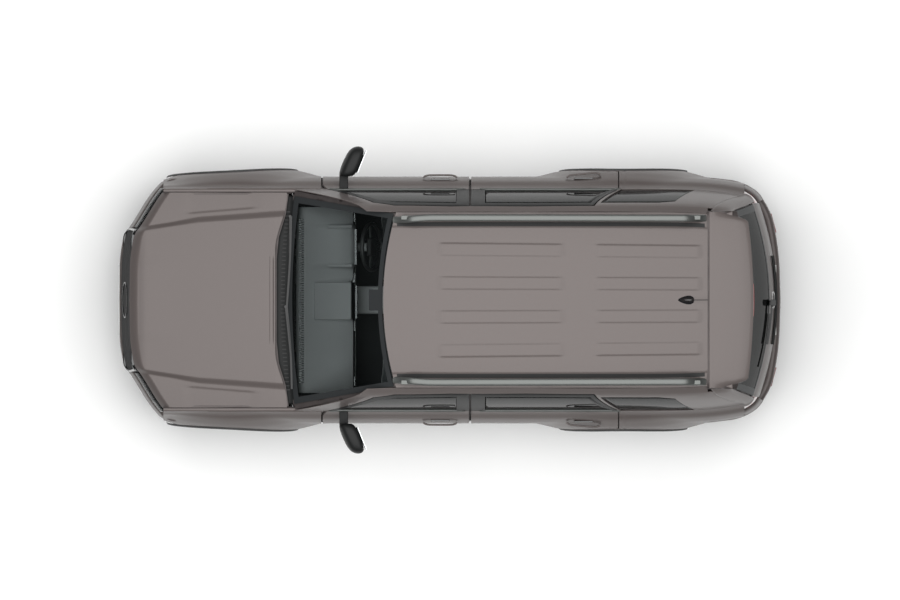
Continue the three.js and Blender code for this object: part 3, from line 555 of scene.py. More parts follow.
def surface(name, colour, roughness, metallic=0.0, grain=None, mottle=None, patchy=0.0, pattern=None,
            **shader):
    """A material on one Principled shader, in object metres. grain is (size, depth) of a noise bump, mottle
    is (size, share) of a noise that darkens the colour by up to that share, patchy is how far roughness
    strays, and pattern adds a bump of its own: (kind, size, depth)."""
    material = bpy.data.materials.new(name)
    material.use_nodes = True
    tree = material.node_tree
    tree.nodes.clear()
    place = add_node(tree, "ShaderNodeTexCoord").outputs["Object"]
    shade = tree.nodes.new("ShaderNodeBsdfPrincipled")
    full = linear(colour) if isinstance(colour, str) else list(colour)
    shade.inputs["Base Color"].default_value = full
    shade.inputs["Roughness"].default_value = roughness
    shade.inputs["Metallic"].default_value = metallic
    for key, value in shader.items():
        shade.inputs[key.replace("_", " ")].default_value = value
    if mottle:
        size, share = mottle
        noise = add_node(tree, "ShaderNodeTexNoise", [(place, "Vector")], Scale=1 / size, Detail=4.0)
        colours = add_node(tree, "ShaderNodeValToRGB", [(noise.outputs["Fac"], "Fac")])
        low, high = colours.color_ramp.elements
        low.position, high.position = 0.35, 0.65
        low.color = [c * (1 - share) for c in full[:3]] + [1.0]
        high.color = full
        tree.links.new(colours.outputs["Color"], shade.inputs["Base Color"])
    if patchy:
        noise = add_node(tree, "ShaderNodeTexNoise", [(place, "Vector")], Scale=9.0, Detail=5.0)
        spread = add_node(tree, "ShaderNodeMapRange", [(noise.outputs["Fac"], "Value")], From_Min=0.3,
                          From_Max=0.7)
        spread.inputs["To Min"].default_value = max(roughness - patchy, 0.02)
        spread.inputs["To Max"].default_value = min(roughness + patchy, 1.0)
        tree.links.new(spread.outputs["Result"], shade.inputs["Roughness"])
    normal = None
    for kind, size, depth in ([("noise", *grain)] if grain else []) + ([pattern] if pattern else []):
        if kind == "noise":
            source = add_node(tree, "ShaderNodeTexNoise", [(place, "Vector")], Scale=1 / size, Detail=3.0)
            height = source.outputs["Fac"]
        elif kind == "cells":
            source = add_node(tree, "ShaderNodeTexVoronoi", [(place, "Vector")], Scale=1 / size)
            height = source.outputs["Distance"]
        else:
            across = add_node(tree, "ShaderNodeTexWave", [(place, "Vector")], Scale=0.314 / size)
            upward = add_node(tree, "ShaderNodeTexWave", [(place, "Vector")], Scale=0.314 / size,
                              bands_direction="Y")
            height = add_node(tree, "ShaderNodeMath",
                              [(across.outputs["Fac"], 0), (upward.outputs["Fac"], 1)],
                              operation="MAXIMUM").outputs[0]
        links = [(height, "Height")] + ([(normal, "Normal")] if normal else [])
        normal = add_node(tree, "ShaderNodeBump", links, Strength=0.6, Distance=depth).outputs["Normal"]
    if normal:
        tree.links.new(normal, shade.inputs["Normal"])
    output = tree.nodes.new("ShaderNodeOutputMaterial")
    tree.links.new(shade.outputs["BSDF"], output.inputs["Surface"])
    return material


def pane(name, colour, clearness, roughness=0.02):
    """Thin sheet glass that light passes straight through: a clear shader tinted by the colour, under a
    gloss that grows with slant as Fresnel's law says."""
    material = bpy.data.materials.new(name)
    material.use_nodes = True
    tree = material.node_tree
    tree.nodes.clear()
    through = add_node(tree, "ShaderNodeBsdfTransparent", Color=linear(colour))
    body = add_node(tree, "ShaderNodeBsdfPrincipled", Base_Color=[0.01, 0.012, 0.012, 1.0],
                    Roughness=roughness)
    slant = add_node(tree, "ShaderNodeFresnel", IOR=1.5)
    share = add_node(tree, "ShaderNodeMapRange", [(slant.outputs[0], "Value")])
    share.inputs["To Min"].default_value = 1 - clearness
    mixed = add_node(tree, "ShaderNodeMixShader", [(share.outputs["Result"], 0)])
    tree.links.new(through.outputs[0], mixed.inputs[1])
    tree.links.new(body.outputs[0], mixed.inputs[2])
    output = tree.nodes.new("ShaderNodeOutputMaterial")
    tree.links.new(mixed.outputs[0], output.inputs["Surface"])
    return material


MAT = {}


def make_materials(colours):
    """Each of the car's finishes, named for what it is made of and how it is made."""
    MAT.update(
        # Steel panels: metallic basecoat with fine flake under a clear lacquer with slight orange peel.
        paint=surface("metallic_basecoat_lacquer", colours.paint, 0.42, metallic=0.15,
                      mottle=(0.0016, 0.16),
                      grain=(0.006, 0.00004), Specular_IOR_Level=0.18, Coat_Weight=0.2,
                      Coat_Roughness=0.08),
        # Pressed steel behind the panels: the same basecoat with no lacquer, dulled by dust; its base colour
        # is darker than the body paint, as painted shade in the shut lines and hollows behind the skins.
        inner_paint=surface("basecoat_no_lacquer_painted_shade", "#46403f", 0.55, metallic=0.4, mottle=(0.05, 0.15),
                            patchy=0.08),
        # Polypropylene, injection moulded with a fine leather grain.
        trim=surface("moulded_polypropylene_grained", colours.trim, 0.6, grain=(0.0012, 0.0002),
                     mottle=(0.3, 0.1)),
        # ABS, injection moulded and polished black.
        gloss=surface("moulded_abs_polished", "#0c0c0d", 0.12, Coat_Weight=0.6, Coat_Roughness=0.03),
        # The same ABS with a fine satin texture, as on window frames.
        satin=surface("moulded_abs_satin", "#161717", 0.5, grain=(0.001, 0.00005), Specular_IOR_Level=0.2),
        # Extruded aluminium, shot-blasted and anodised dark.
        rail=surface("anodised_aluminium_extrusion", "#5c5e5c", 0.42, metallic=0.7, grain=(0.001, 0.00003)),
        # Chromium plate on moulded plastic.
        chrome=surface("chromium_plate", "#d6d6d6", 0.12, metallic=1.0, patchy=0.03),
        # EPDM rubber, extruded.
        rubber=surface("extruded_epdm_rubber", "#171717", 0.75, grain=(0.003, 0.0001)),
        # Tyre rubber compound, moulded and vulcanised.
        tyre=surface("vulcanised_tyre_rubber", "#1b1b1c", 0.82, grain=(0.002, 0.0002), mottle=(0.04, 0.25)),
        # Cast aluminium wheel, machined and lacquered.
        alloy=surface("cast_aluminium_lacquered", "#9b9da0", 0.3, metallic=0.9, grain=(0.004, 0.00003),
                      Coat_Weight=0.5, Coat_Roughness=0.08),
        # Grey cast iron brake disc, turned and ground.
        disc=surface("turned_grey_iron", "#77726c", 0.35, metallic=0.9, mottle=(0.01, 0.2)),
        # Cast iron and cast aluminium housings, as cast.
        cast=surface("sand_cast_housing", "#55544f", 0.65, metallic=0.6, grain=(0.003, 0.0003),
                     mottle=(0.06, 0.3)),
        # Chassis steel under black wax-filled paint.
        chassis=surface("chassis_black_paint", "#1a1a1b", 0.5, grain=(0.004, 0.0001), mottle=(0.08, 0.25),
                        patchy=0.15),
        # Floor pressing in sprayed stone-chip coating.
        floor=surface("sprayed_stone_chip_coating", "#262625", 0.8, grain=(0.003, 0.0008),
                      mottle=(0.1, 0.2)),
        # Aluminised steel tube of the exhaust, heat-stained.
        pipe=surface("aluminised_steel_tube", "#6e675f", 0.45, metallic=0.85, mottle=(0.07, 0.35),
                     patchy=0.12),
        # Blow-moulded polyethylene of tank and arch liners.
        liner=surface("blow_moulded_polyethylene", "#141414", 0.7, grain=(0.008, 0.0004)),
        # Slush-moulded skin of dashboard and door cards.
        soft_trim=surface("slush_moulded_vinyl", colours.cabin, 0.62, grain=(0.0015, 0.0002),
                          mottle=(0.4, 0.08)),
        # Needle-punched carpet.
        carpet=surface("needle_punched_carpet", "#232425", 0.95, grain=(0.0015, 0.0015), Sheen_Weight=0.3),
        # Knitted headlining cloth on foam.
        lining=surface("knitted_headlining", "#8a8880", 0.95, grain=(0.001, 0.0004), Sheen_Weight=0.3),
        # Woven polyester seat cloth.
        cloth=surface("woven_polyester", colours.cloth, 0.85, pattern=("weave", 0.0016, 0.0004),
                      mottle=(0.003, 0.2), Sheen_Weight=0.4, Sheen_Roughness=0.5),
        # Chrome-tanned hide on the steering wheel and the gear knob.
        hide=surface("tanned_hide", "#232323", 0.5, pattern=("cells", 0.0016, 0.0003), patchy=0.08),
        # Webbing of woven polyester.
        webbing=surface("belt_webbing", "#1d1d1e", 0.7, pattern=("weave", 0.0012, 0.0003)),
        # Laminated windscreen glass, and toughened glass tinted for the sides and rear.
        clear=pane("laminated_glass", "#f5f8f8", 0.985),
        tinted=pane("toughened_privacy_glass", "#454b4a", 0.84),
        # Ceramic frit fired on to the glass.
        frit=surface("fired_ceramic_frit", "#27292a", 0.45, Specular_IOR_Level=0.2),
        # Clear polycarbonate lamp cover, hard-coated, and the red acrylic of the tail lamps.
        lens=pane("hard_coated_polycarbonate", "#e8ecee", 0.86),
        red=surface("red_acrylic", "#7a0d0a", 0.1, Coat_Weight=0.8, Coat_Roughness=0.03,
                    mottle=(0.004, 0.25)),
        # Vacuum-metallised lamp reflector.
        mirror=surface("metallised_reflector", "#dfe2e4", 0.06, metallic=1.0),
        # Liquid-crystal display behind glass, off.
        display=surface("display_glass_off", "#0a0d0f", 0.08, Coat_Weight=1.0, Coat_Roughness=0.02),
        # Blank pressed-aluminium number plate, white reflective film.
        plate=surface("reflective_film_on_aluminium", "#c9cac8", 0.4, grain=(0.002, 0.00005)),
    )


# ---------------------------------------------------------------- body: lines in side view
DOOR_TOP = 0.062         # door frame below the cant rail
CAB = crown(SCREEN_TOP) - CANT_DROP
FRONT_DOOR_TOP = np.array([
    [DOOR_FRONT - 0.043, BELT_SEAM], [SCREEN_TOP + 0.058, CAB - 0.121],
    [SCREEN_TOP - 0.091, CAB - DOOR_TOP],
    [0.0, cant(0.0) - DOOR_TOP], [DOOR_SPLIT + GAP, cant(DOOR_SPLIT) - DOOR_TOP],
    [DOOR_SPLIT + GAP, BELT_SEAM],
])
FRONT_WINDOW = np.array([
    [DOOR_FRONT - 0.091, BELT_SEAM], [SCREEN_TOP + 0.02, CAB - 0.172], [SCREEN_TOP - 0.11, CAB - 0.112],
    [0.0, cant(0.0) - WINDOW_TOP], [DOOR_SPLIT + 0.097, cant(DOOR_SPLIT) - WINDOW_TOP],
    [DOOR_SPLIT + 0.097, BELT_SEAM],
])
REAR_DOOR_TOP = np.array([
    [REAR_DOOR_FRONT - GAP, BELT_SEAM], [REAR_DOOR_FRONT - GAP, cant(REAR_DOOR_FRONT) - DOOR_TOP],
    [REAR_DOOR_BEND, cant(REAR_DOOR_BEND) - DOOR_TOP],
    [DOOR_REAR + 0.187, cant(DOOR_REAR) - DOOR_TOP], [DOOR_REAR + 0.004, BELT_SEAM],
])
REAR_WINDOW = np.array([
    [REAR_DOOR_FRONT - 0.107, BELT_SEAM], [REAR_DOOR_FRONT - 0.107, cant(REAR_DOOR_FRONT) - WINDOW_TOP],
    [REAR_DOOR_FRONT - 0.5, cant(REAR_DOOR_FRONT - 0.5) - WINDOW_TOP],
    [DOOR_REAR + 0.205, cant(DOOR_REAR) - 0.112], [DOOR_REAR + 0.045, BELT_SEAM],
])
QUARTER_FRAME = np.array([
    [DOOR_REAR - 0.008, BELT_SEAM], [DOOR_REAR + 0.178, cant(DOOR_REAR) - RAIL_DEPTH],
    [QUARTER_MIDDLE, cant(QUARTER_MIDDLE) - RAIL_DEPTH], [TAIL_HINGE - 0.03, cant(TAIL_HINGE) - RAIL_DEPTH],
    [QUARTER_REAR + 0.01, BELT_SEAM],
])
QUARTER_WINDOW = np.array([
    [DOOR_REAR - 0.02, GLASS_FOOT], [DOOR_REAR + 0.135, cant(DOOR_REAR) - 0.105],
    [QUARTER_MIDDLE, cant(QUARTER_MIDDLE) - WINDOW_TOP], [TAIL_HINGE + 0.25, cant(TAIL_HINGE) - 0.125],
    [TAIL_HINGE + 0.105, GLASS_FOOT],
])


def filled(line, steps=10):
    """Straight pieces through a line's points, each cut into equal steps."""
    return np.concatenate([between(a, b, steps + 1)[:-1] for a, b in zip(line[:-1], line[1:])]
                          + [line[-1:]])


def over_arch(axle, radius, x, low):
    """Height of a wheel arch's edge at x, or low outside it."""
    inside = radius**2 - (x - axle) ** 2
    return np.where(inside > 0, np.maximum(WHEEL_Z + np.sqrt(np.maximum(inside, 0)), low), low)


def stations(rear, front, axle, radius):
    """Even stations from rear to front, with closer ones where a wheel arch's edge is steep: its angle is
    cut into equal parts."""
    line = np.concatenate([np.arange(rear, front, 0.03),
                           axle + radius * np.cos(np.radians(np.arange(0, 181, 4)))])
    line = np.unique(np.round(line, 4))
    return np.concatenate([[rear], line[(line > rear + 0.002) & (line < front - 0.002)], [front]])


def side_sheet(x, low, high, rows=30, depth=0.0):
    """A grid on the body side between two heights at each station, its rows closer together above."""
    v = np.linspace(0, 1, rows)[None, :] ** 0.85
    z = low[:, None] * (1 - v) + high[:, None] * v
    return on_side(np.stack([np.broadcast_to(x[:, None], z.shape), z], -1), depth)


def make_bonnet():
    """The bonnet: height falls with the cube of half-width and rolls over at the nose. Two creases, from
    the cowl to the nose, each lift the middle on an eased step between two lines in plan."""
    y = np.concatenate([np.linspace(-BONNET_HALF, -0.5, 44)[:-1], np.linspace(-0.5, 0.5, 35),
                        np.linspace(0.5, BONNET_HALF, 44)[1:]])
    s = np.concatenate([np.linspace(0, 0.08, 26)[:-1], np.linspace(0.08, 0.9, 50),
                        np.linspace(0.9, 1, 24)[1:]])
    s, y = np.meshgrid(s, y, indexing="ij")
    rear = bonnet_rear(y)
    front = nose_x(y, 1.05) - 0.008
    x = rear * (1 - s) + front * s
    side = np.abs(y)
    middle = 1.186 - 0.078 * rise(x, BONNET_REAR, NOSE - 0.145)
    ahead = rise(x - (nose_x(y, 1.05) - 0.07), 0, 0.07)
    z = middle - 0.052 * np.abs(y / BONNET_HALF) ** 3 - 0.055 * ahead**1.7
    inner = np.interp(x, [1.2, 1.87, 2.06, 2.25, 2.4], [0.615, 0.57, 0.545, 0.515, 0.49])
    outer = np.interp(x, [1.2, 1.87, 2.06, 2.25, 2.4], [0.673, 0.622, 0.582, 0.552, 0.53])
    z += 0.025 * (1 - ramp(side, inner, outer)) * (1 - 0.5 * ramp(x, 2.25, 2.36))
    faint = np.interp(x, [1.4, 1.96], [0.688, 0.642])
    z -= 0.006 * ramp(side, faint - 0.012, faint + 0.012) * ramp(x, 1.38, 1.5) * (1 - ramp(x, 1.9, 2.0))
    z += 0.006 * (1 - ramp(side, 0.262, 0.292)) * ramp(x, 1.95, 2.3)
    slot = ramp(x, 1.309, 1.314) * (1 - ramp(x, 1.335, 1.34)) * (1 - ramp(side, 0.308, 0.316))
    z -= 0.008 * slot
    shape = Shape().grid(np.stack([x, y, z], -1))
    make_piece("bonnet_skin", shape, MAT["paint"], "bonnet_lid", "paint", solid=0.006, bevel=0.0025,
               away=(1.5, 0, 0))
    core_of("bonnet", (-0.012, 0.01, -0.012), MAT["inner_paint"], "bonnet_frame")


def make_wings():
    """Front wings: the side's surface between the wheel arch and the top edge, folded in to the bonnet."""
    x = stations(DOOR_FRONT + 0.008, WING_FRONT, FRONT_AXLE, ARCH_RADIUS)
    low = over_arch(FRONT_AXLE, ARCH_RADIUS, x, np.where(x < FRONT_AXLE, SILL_TOP + 0.002, 0.686))
    top = wing_top(x)
    sheet = side_sheet(x, low, top)
    edge = sheet[:, -1]
    inward = []
    for share, drop in ((0.35, 0.0045), (0.7, 0.006), (0.94, 0.005), (1.0, 0.001), (1.0, -0.02)):
        y = edge[:, 1] + (BONNET_HALF + 0.005 - edge[:, 1]) * share
        y = np.where(x < SCREEN_BASE - 0.06, np.maximum(y, edge[:, 1] - 0.02 * share), y)
        inward.append(np.stack([x, y, edge[:, 2] + drop], 1))
    grid = np.concatenate([sheet, np.stack(inward, 1)], 1)
    pair("{side}_wing_skin", [grid], MAT["paint"], "car_body", "paint", solid=0.004, bevel=0.0015,
         away=(1.5, 0, 0.7))
    for side, _ in sides():
        core_of(f"{side}_front_wing", (0, 0.014, -0.012), MAT["inner_paint"])


def door_patch(bottom, top, rear, front, depth=0.0):
    """A door's lower skin, inside four lines in side view."""
    return on_side(coons(bottom, top, rear, front), depth)


def make_doors():
    """Doors: a lower skin between the sill and the belt, a frame round the glass, and the frame's own
    solid behind them. Each pane fills its window, six millimetres under the skin."""
    low, belt = SILL_TOP + GAP, BELT_SEAM
    rows, columns = 46, 34
    front_edge = np.concatenate([
        between([DOOR_FRONT - GAP, low], [DOOR_FRONT - GAP, BELT - 0.06], columns - 8),
        between([DOOR_FRONT - GAP, BELT - 0.06], [DOOR_FRONT - 0.043, belt], 9)[1:],
    ])
    split_rear = between([DOOR_SPLIT + GAP, low], [DOOR_SPLIT + GAP, belt], columns)
    split_rear[:, 1] = front_edge[:, 1]
    bottom = between([DOOR_SPLIT + GAP, low], [DOOR_FRONT - GAP, low], rows)
    top = between([DOOR_SPLIT + GAP, belt], [DOOR_FRONT - 0.043, belt], rows)
    pair("{side}_front_door_skin", [door_patch(bottom, top, split_rear, front_edge)], MAT["paint"],
         "{side}_front_door_body", "paint", solid=0.014, bevel=0.003, away=(0.4, 0, 0.8))
    reach = ARCH_RADIUS + 0.078 + GAP
    bow = arc((REAR_AXLE, WHEEL_Z), reach, 6.5, 85, 30)
    bow = bow[(bow[:, 0] > DOOR_REAR + GAP)]
    rear_edge = along(np.concatenate([bow, [[DOOR_REAR + GAP, bow[-1, 1] + 0.006],
                                            [DOOR_REAR + GAP, belt]]]), 44)
    fore_edge = between([REAR_DOOR_FRONT - GAP, rear_edge[0, 1]], [REAR_DOOR_FRONT - GAP, belt], 44)
    bottom = between(rear_edge[0], fore_edge[0], rows)
    top = between([DOOR_REAR + GAP, belt], [REAR_DOOR_FRONT - GAP, belt], rows)
    pair("{side}_rear_door_skin", [door_patch(bottom, top, rear_edge, fore_edge)], MAT["paint"],
         "{side}_rear_door_body", "paint", solid=0.014, bevel=0.003, away=(-0.6, 0, 0.8))
    for name, outer, inner in (("front", FRONT_DOOR_TOP, FRONT_WINDOW),
                               ("rear", REAR_DOOR_TOP, REAR_WINDOW)):
        body = "{side}_" + name + "_door_body"
        ring = on_side(ring_between(filled(outer), filled(inner), 5), 0.001)
        pair("{side}_" + name + "_window_frame", [ring], MAT["satin"], body, "black_plastic", solid=0.014,
             bevel=0.0015, away=(0, 0, 1.2))
        base = [np.array([min(inner[0, 0], inner[-1, 0]) - 0.012, BELT + 0.006]),
                np.array([max(inner[0, 0], inner[-1, 0]) + 0.012, BELT + 0.006])]
        if name == "front":
            upper = filled(inner[[4, 3, 2, 1]])
            rear, fore = between(base[0], inner[4], 12), between(base[1], inner[1], 12)
        else:
            upper = filled(inner[[3, 2, 1]])
            rear, fore = between(base[0], inner[3], 12), between(base[1], inner[1], 12)
        lower = between(base[0], base[1], len(upper))
        pair("{side}_" + name + "_door_pane", [on_side(coons(lower, upper, rear, fore), 0.007)],
             MAT["tinted"],
             body, "window_glass", ["{side}_" + name + "_door_glass"], solid=0.004, away=(0, 0, 1.2))
        xs = np.linspace(inner[:, 0].min() - 0.06, inner[:, 0].max() + 0.04, 40)
        strip = on_side(np.stack([np.stack([xs, np.full(40, BELT + z)], 1)
                                  for z in (0.004, 0.011, 0.024, 0.03)], 1))
        strip[..., 1] += [-0.004, 0.006, 0.005, -0.006]
        pair("{side}_" + name + "_belt_moulding", [strip], MAT["rail"], body, "rail_satin", solid=0.004,
             away=(0, 0, 1.0))
    for side, _ in sides():
        for end in ("front", "rear"):
            core_of(f"{side}_{end}_door", (0, 0.012, 0), MAT["inner_paint"])
    for end, middle in (("front", 0.073), ("rear", -0.991)):
        body = "{side}_" + end + "_door_body"
        xs = np.linspace(-0.125, 0.125, 24)
        out = 0.03 * np.sqrt(np.clip(1 - (xs / 0.128) ** 6, 0, 1))
        path = on_side(np.stack([xs + middle, np.full(24, 0.985)], 1)) + out[:, None] * [0, 1, 0]
        bar = sweep(path, box_section(0.014, 0.026, 0.005))
        pair("{side}_" + end + "_door_handle", [bar], MAT["paint"], body, "paint", add=Shape.tube)
        cup = rounded_box([middle - 0.07, 0.0, 0.96], [middle + 0.07, 0.012, 1.012], 0.005)
        cup[..., 1] += side_half(middle, 0.985) - 0.006
        pair("{side}_" + end + "_handle_cup", [cup], MAT["gloss"], body, "black_plastic", add=Shape.tube)


def make_side_frames():
    """Sills, pillars, cant rails and rear quarters: strips of the side's surface between two lines."""
    low = []
    x = np.linspace(REAR_AXLE + ARCH_RADIUS + 0.003, FRONT_AXLE - ARCH_RADIUS - 0.003, 60)
    for z, depth in ((SILL_TOP - GAP, 0.0), (0.41, 0), (0.38, 0.002), (0.35, 0.008), (0.33, 0.02),
                     (0.322, 0.04), (0.322, 0.12)):
        low.append(on_side(np.stack([x, np.full(60, z)], 1), depth))
    pair("{side}_sill_skin", [np.stack(low, 1)], MAT["trim"], "car_body", "black_plastic", solid=0.003,
         away=(0.2, 0, 0.5))
    pillar_low = np.array([
        [DOOR_FRONT + 0.006, BELT - 0.004], [DOOR_FRONT - 0.034, BELT_SEAM],
        [SCREEN_TOP + 0.066, CAB - 0.113],
        [SCREEN_TOP - 0.088, CAB - RAIL_DEPTH], [0, cant(0.0) - RAIL_DEPTH],
        [REAR_DOOR_BEND, cant(REAR_DOOR_BEND) - RAIL_DEPTH],
        [DOOR_REAR + 0.178, cant(DOOR_REAR) - RAIL_DEPTH],
        [QUARTER_MIDDLE, cant(QUARTER_MIDDLE) - RAIL_DEPTH],
        [TAIL_HINGE + 0.008, cant(TAIL_HINGE) - RAIL_DEPTH],
    ])
    pillar_high = np.array([
        [SCREEN_BASE - 0.05, BELT + 0.02], [1.06, 1.238], [SCREEN_TOP + 0.115, CAB - 0.022],
        [SCREEN_TOP - 0.07, CAB + 0.004], [0, cant(0.0)], [REAR_DOOR_BEND, cant(REAR_DOOR_BEND)],
        [DOOR_REAR + 0.178, cant(DOOR_REAR)], [QUARTER_MIDDLE, cant(QUARTER_MIDDLE)],
        [TAIL_HINGE + 0.008, cant(TAIL_HINGE)],
    ])
    strip = on_side(ring_between(filled(pillar_low, 8), filled(pillar_high, 8), 8))
    pair("{side}_cant_rail_skin", [strip], MAT["paint"], "car_body", "paint", solid=0.006, bevel=0.002,
         away=(0, 0, 1.2))
    turn = np.radians(np.linspace(6, 90, 30))[:, None]
    radius = np.linspace(ARCH_RADIUS, BAND_RADIUS, 6)[None, :]
    band = on_side(np.stack([REAR_AXLE + radius * np.cos(turn), WHEEL_Z + radius * np.sin(turn)], -1))
    x = stations(QUARTER_REAR + 0.002, DOOR_REAR - GAP, REAR_AXLE, ARCH_RADIUS)
    ahead = x > REAR_AXLE
    low = np.where(ahead, over_arch(REAR_AXLE, BAND_RADIUS, x, 0.644),
                   over_arch(REAR_AXLE, ARCH_RADIUS, x, 0.644))
    quarter = side_sheet(x, low, np.full_like(x, BELT + 0.014))
    pair("{side}_quarter_skin", [band, quarter], MAT["paint"], "car_body", "paint", solid=0.005,
         bevel=0.002, away=(-1.4, 0, 0.7))
    frame_line, window = filled(QUARTER_FRAME), filled(QUARTER_WINDOW)
    upper = on_side(ring_between(frame_line, window, 5))
    base = on_side(ring_between(
        between([QUARTER_REAR + 0.01, BELT_SEAM], [DOOR_REAR - 0.008, BELT_SEAM], 20),
        between([TAIL_HINGE + 0.105, GLASS_FOOT], [DOOR_REAR - 0.02, GLASS_FOOT], 20), 3))
    pair("{side}_quarter_frame", [upper, base], MAT["paint"], "car_body", "paint", solid=0.006,
         bevel=0.0015, away=(-1.5, 0, 1.3))
    lower_line = between(QUARTER_WINDOW[-1], QUARTER_WINDOW[0], 21)
    top_line = filled(QUARTER_WINDOW[[3, 2, 1]])
    glass = on_side(coons(lower_line, top_line, between(QUARTER_WINDOW[-1], QUARTER_WINDOW[3], 12),
                          between(QUARTER_WINDOW[0], QUARTER_WINDOW[1], 12)), 0.004)
    pair("{side}_quarter_pane", [glass], MAT["tinted"], "car_body", "window_glass",
         ["{side}_quarter_glass"], solid=0.004, away=(-1.5, 0, 1.3))
    for side, _ in sides():
        core_of(f"{side}_side_frame", (0, 0.014, 0), MAT["inner_paint"])


def make_arch_trims():
    """Grained trims round the wheel arches: a rolled section carried round each arch."""
    for end, axle, low, high in (("front", FRONT_AXLE, -2, 168), ("rear", REAR_AXLE, 4, 162)):
        turn = np.radians(np.linspace(low, high, 70))[:, None]
        radius = np.array([[-0.003, -0.003, 0.001, 0.03, 0.05, 0.055, 0.056]]) + ARCH_RADIUS
        out = np.array([[-0.05, 0.004, 0.008, 0.011, 0.009, 0.004, -0.004]])
        spots = np.stack([axle + radius * np.cos(turn), WHEEL_Z + radius * np.sin(turn)], -1)
        grid = on_side(spots)
        grid[..., 1] += out
        pair("{side}_" + end + "_arch_trim", [grid], MAT["trim"], "car_body", "black_plastic", solid=0.003,
             away=(axle, 0, WHEEL_Z))
        depth = np.linspace(0.02, 0.3, 6)[None, :]
        ring = np.broadcast_to(ARCH_RADIUS + 0.004 + 0.0 * depth, (70, 6))
        x, z = axle + ring * np.cos(turn), WHEEL_Z + ring * np.sin(turn)
        liner = np.stack([x, side_half(x, z) - depth, z], -1)
        pair("{side}_" + end + "_arch_liner", [liner], MAT["liner"], "car_body", "black_plastic",
             solid=0.003, away=(axle, 0, 5.0))


def roof_height(x, y):
    """The roof: its crown, falling with the fourth power of half-width, with a shallow channel at each
    rail."""
    half = side_half(x, cant(x))
    ditch = ramp(np.abs(y), half - 0.115, half - 0.1) * (1 - ramp(np.abs(y), half - 0.02, half - 0.012))
    return crown(x) - 0.058 * (y / half) ** 4 + PROUD - 0.006 * ditch


def make_roof(sizes):
    """The roof skin with four raised beads in two rows, dark strips in its channels as painted shade beside
    the rails, and the aerial.
    """
    u, v = np.linspace(0, 1, 110)[:, None], np.linspace(-1, 1, 170)[None, :]
    x = (TAIL_HINGE + 0.008) * (1 - u) + (SCREEN_TOP - 0.008) * u - 0.095 * v**2 * ramp(u, 0.7, 1)
    y = v * (side_half(x, cant(x)) - 0.0005)
    z = roof_height(x, y)
    narrow = 1 - 0.05 * rise(-x, 0, 1.9)
    for centre in (0.126, 0.377):
        bead = 1 - ramp(np.abs(np.abs(y) - centre * narrow), 0.038, 0.052)
        for start, end in ((-0.85, 0.093), (-1.873, -1.065)):
            z = z + sizes.bead_height * bead * ramp(x, start, start + 0.03) * (1 - ramp(x, end - 0.03, end))
    shape = Shape().grid(np.stack([x, y, z], -1))
    make_piece("roof_skin", shape, MAT["paint"], "car_body", "paint", solid=0.004, bevel=0.001,
               away=(0, 0, 0))
    core_of("roof_panel", (0, 0.004, -0.014), MAT["lining"], "roof_lining")
    # Dark rubber strips in the ditches inboard of the rails, as painted shade: they darken the channel where
    # the rails' shade falls.
    x = np.linspace(TAIL_HINGE + 0.03, SCREEN_TOP - 0.11, 80)[:, None]
    y = side_half(x, cant(x)) - np.linspace(0.104, 0.074, 4)[None, :]
    strip = np.stack([np.broadcast_to(x, y.shape), y, roof_height(x, y) + 0.001], -1)
    pair("{side}_roof_channel", [strip], MAT["rubber"], "car_body", "black_plastic", away=(0, 0, 0))
    turn = np.linspace(0, 2 * np.pi, 32, endpoint=False)
    top = float(crown(-1.745))
    fin = []
    for share, width in ((0, 0.0375), (0.06, 0.037), (0.2, 0.028), (0.45, 0.014), (0.8, 0.006), (1, 0.003)):
        length = 0.07 * (1 - 0.62 * share)
        fin.append(np.stack([-1.745 - 0.022 * share + length * np.cos(turn),
                             width * np.sin(turn) * (1 - 0.3 * np.cos(turn)),
                             np.full(32, top - 0.004 + 0.034 * share)], 1))
    shape = solid_of(np.stack(fin))
    whip = between([-1.78, 0, top + 0.026], [-1.953 + 0.04, 0, top + 0.022], 10)
    shape.tube(sweep(whip, circle_section(0.0025, 8)))
    make_piece("aerial", shape, MAT["gloss"], "car_body", "black_plastic")


def make_rails(sizes):
    """Roof rails: an oval bar carried over four feet, curving down to the roof at both ends."""
    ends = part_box("left_roof_rail")
    x = np.linspace(ends[0].x + 0.004, ends[1].x - 0.004, 80)
    top = ends[1].z - 0.013
    lift = ramp(x, ends[0].x, ends[0].x + 0.16) * (1 - ramp(x, ends[1].x - 0.16, ends[1].x))
    z = (crown(x) - 0.05) * (1 - lift) + top * lift
    y = 0.611 - 0.018 * ramp(x, ends[1].x - 0.3, ends[1].x) - 0.004 * rise(-x, 0, 1.9)
    bar = sweep(np.stack([x, y, z], 1), circle_section(1, 14) * [sizes.rail_width / 2, 0.0125])
    feet = [
        rounded_box([foot - 0.06, 0.594, crown(foot) - 0.052],
                    [foot + 0.06, 0.628, np.interp(foot, x, z) + 0.002], 0.008)
        for foot in (ends[0].x + 0.1, -0.7, 0.0, ends[1].x - 0.12)
    ]
    pair("{side}_rail_bar", [bar, *feet], MAT["rail"], "car_body", "rail_satin", ["{side}_roof_rail"],
         add=Shape.tube)


def screen_sheet(a, up, drop=0.0):
    """The windscreen's surface: straight up, bowed forward across by a square law, and lifted in the
    middle."""
    side = 2 * a - 1
    half = SCREEN_HALF * (1 - up) + 0.64 * up
    x = SCREEN_BASE * (1 - up) + SCREEN_TOP * up - (SCREEN_BOW + 0.033 * up) * side**2
    z = 1.186 * (1 - up) + (crown(SCREEN_TOP) - 0.02) * up + 0.06 * up * (1 - up) - 0.034 * side**2 - drop
    return np.stack([x, half * side, z], -1)


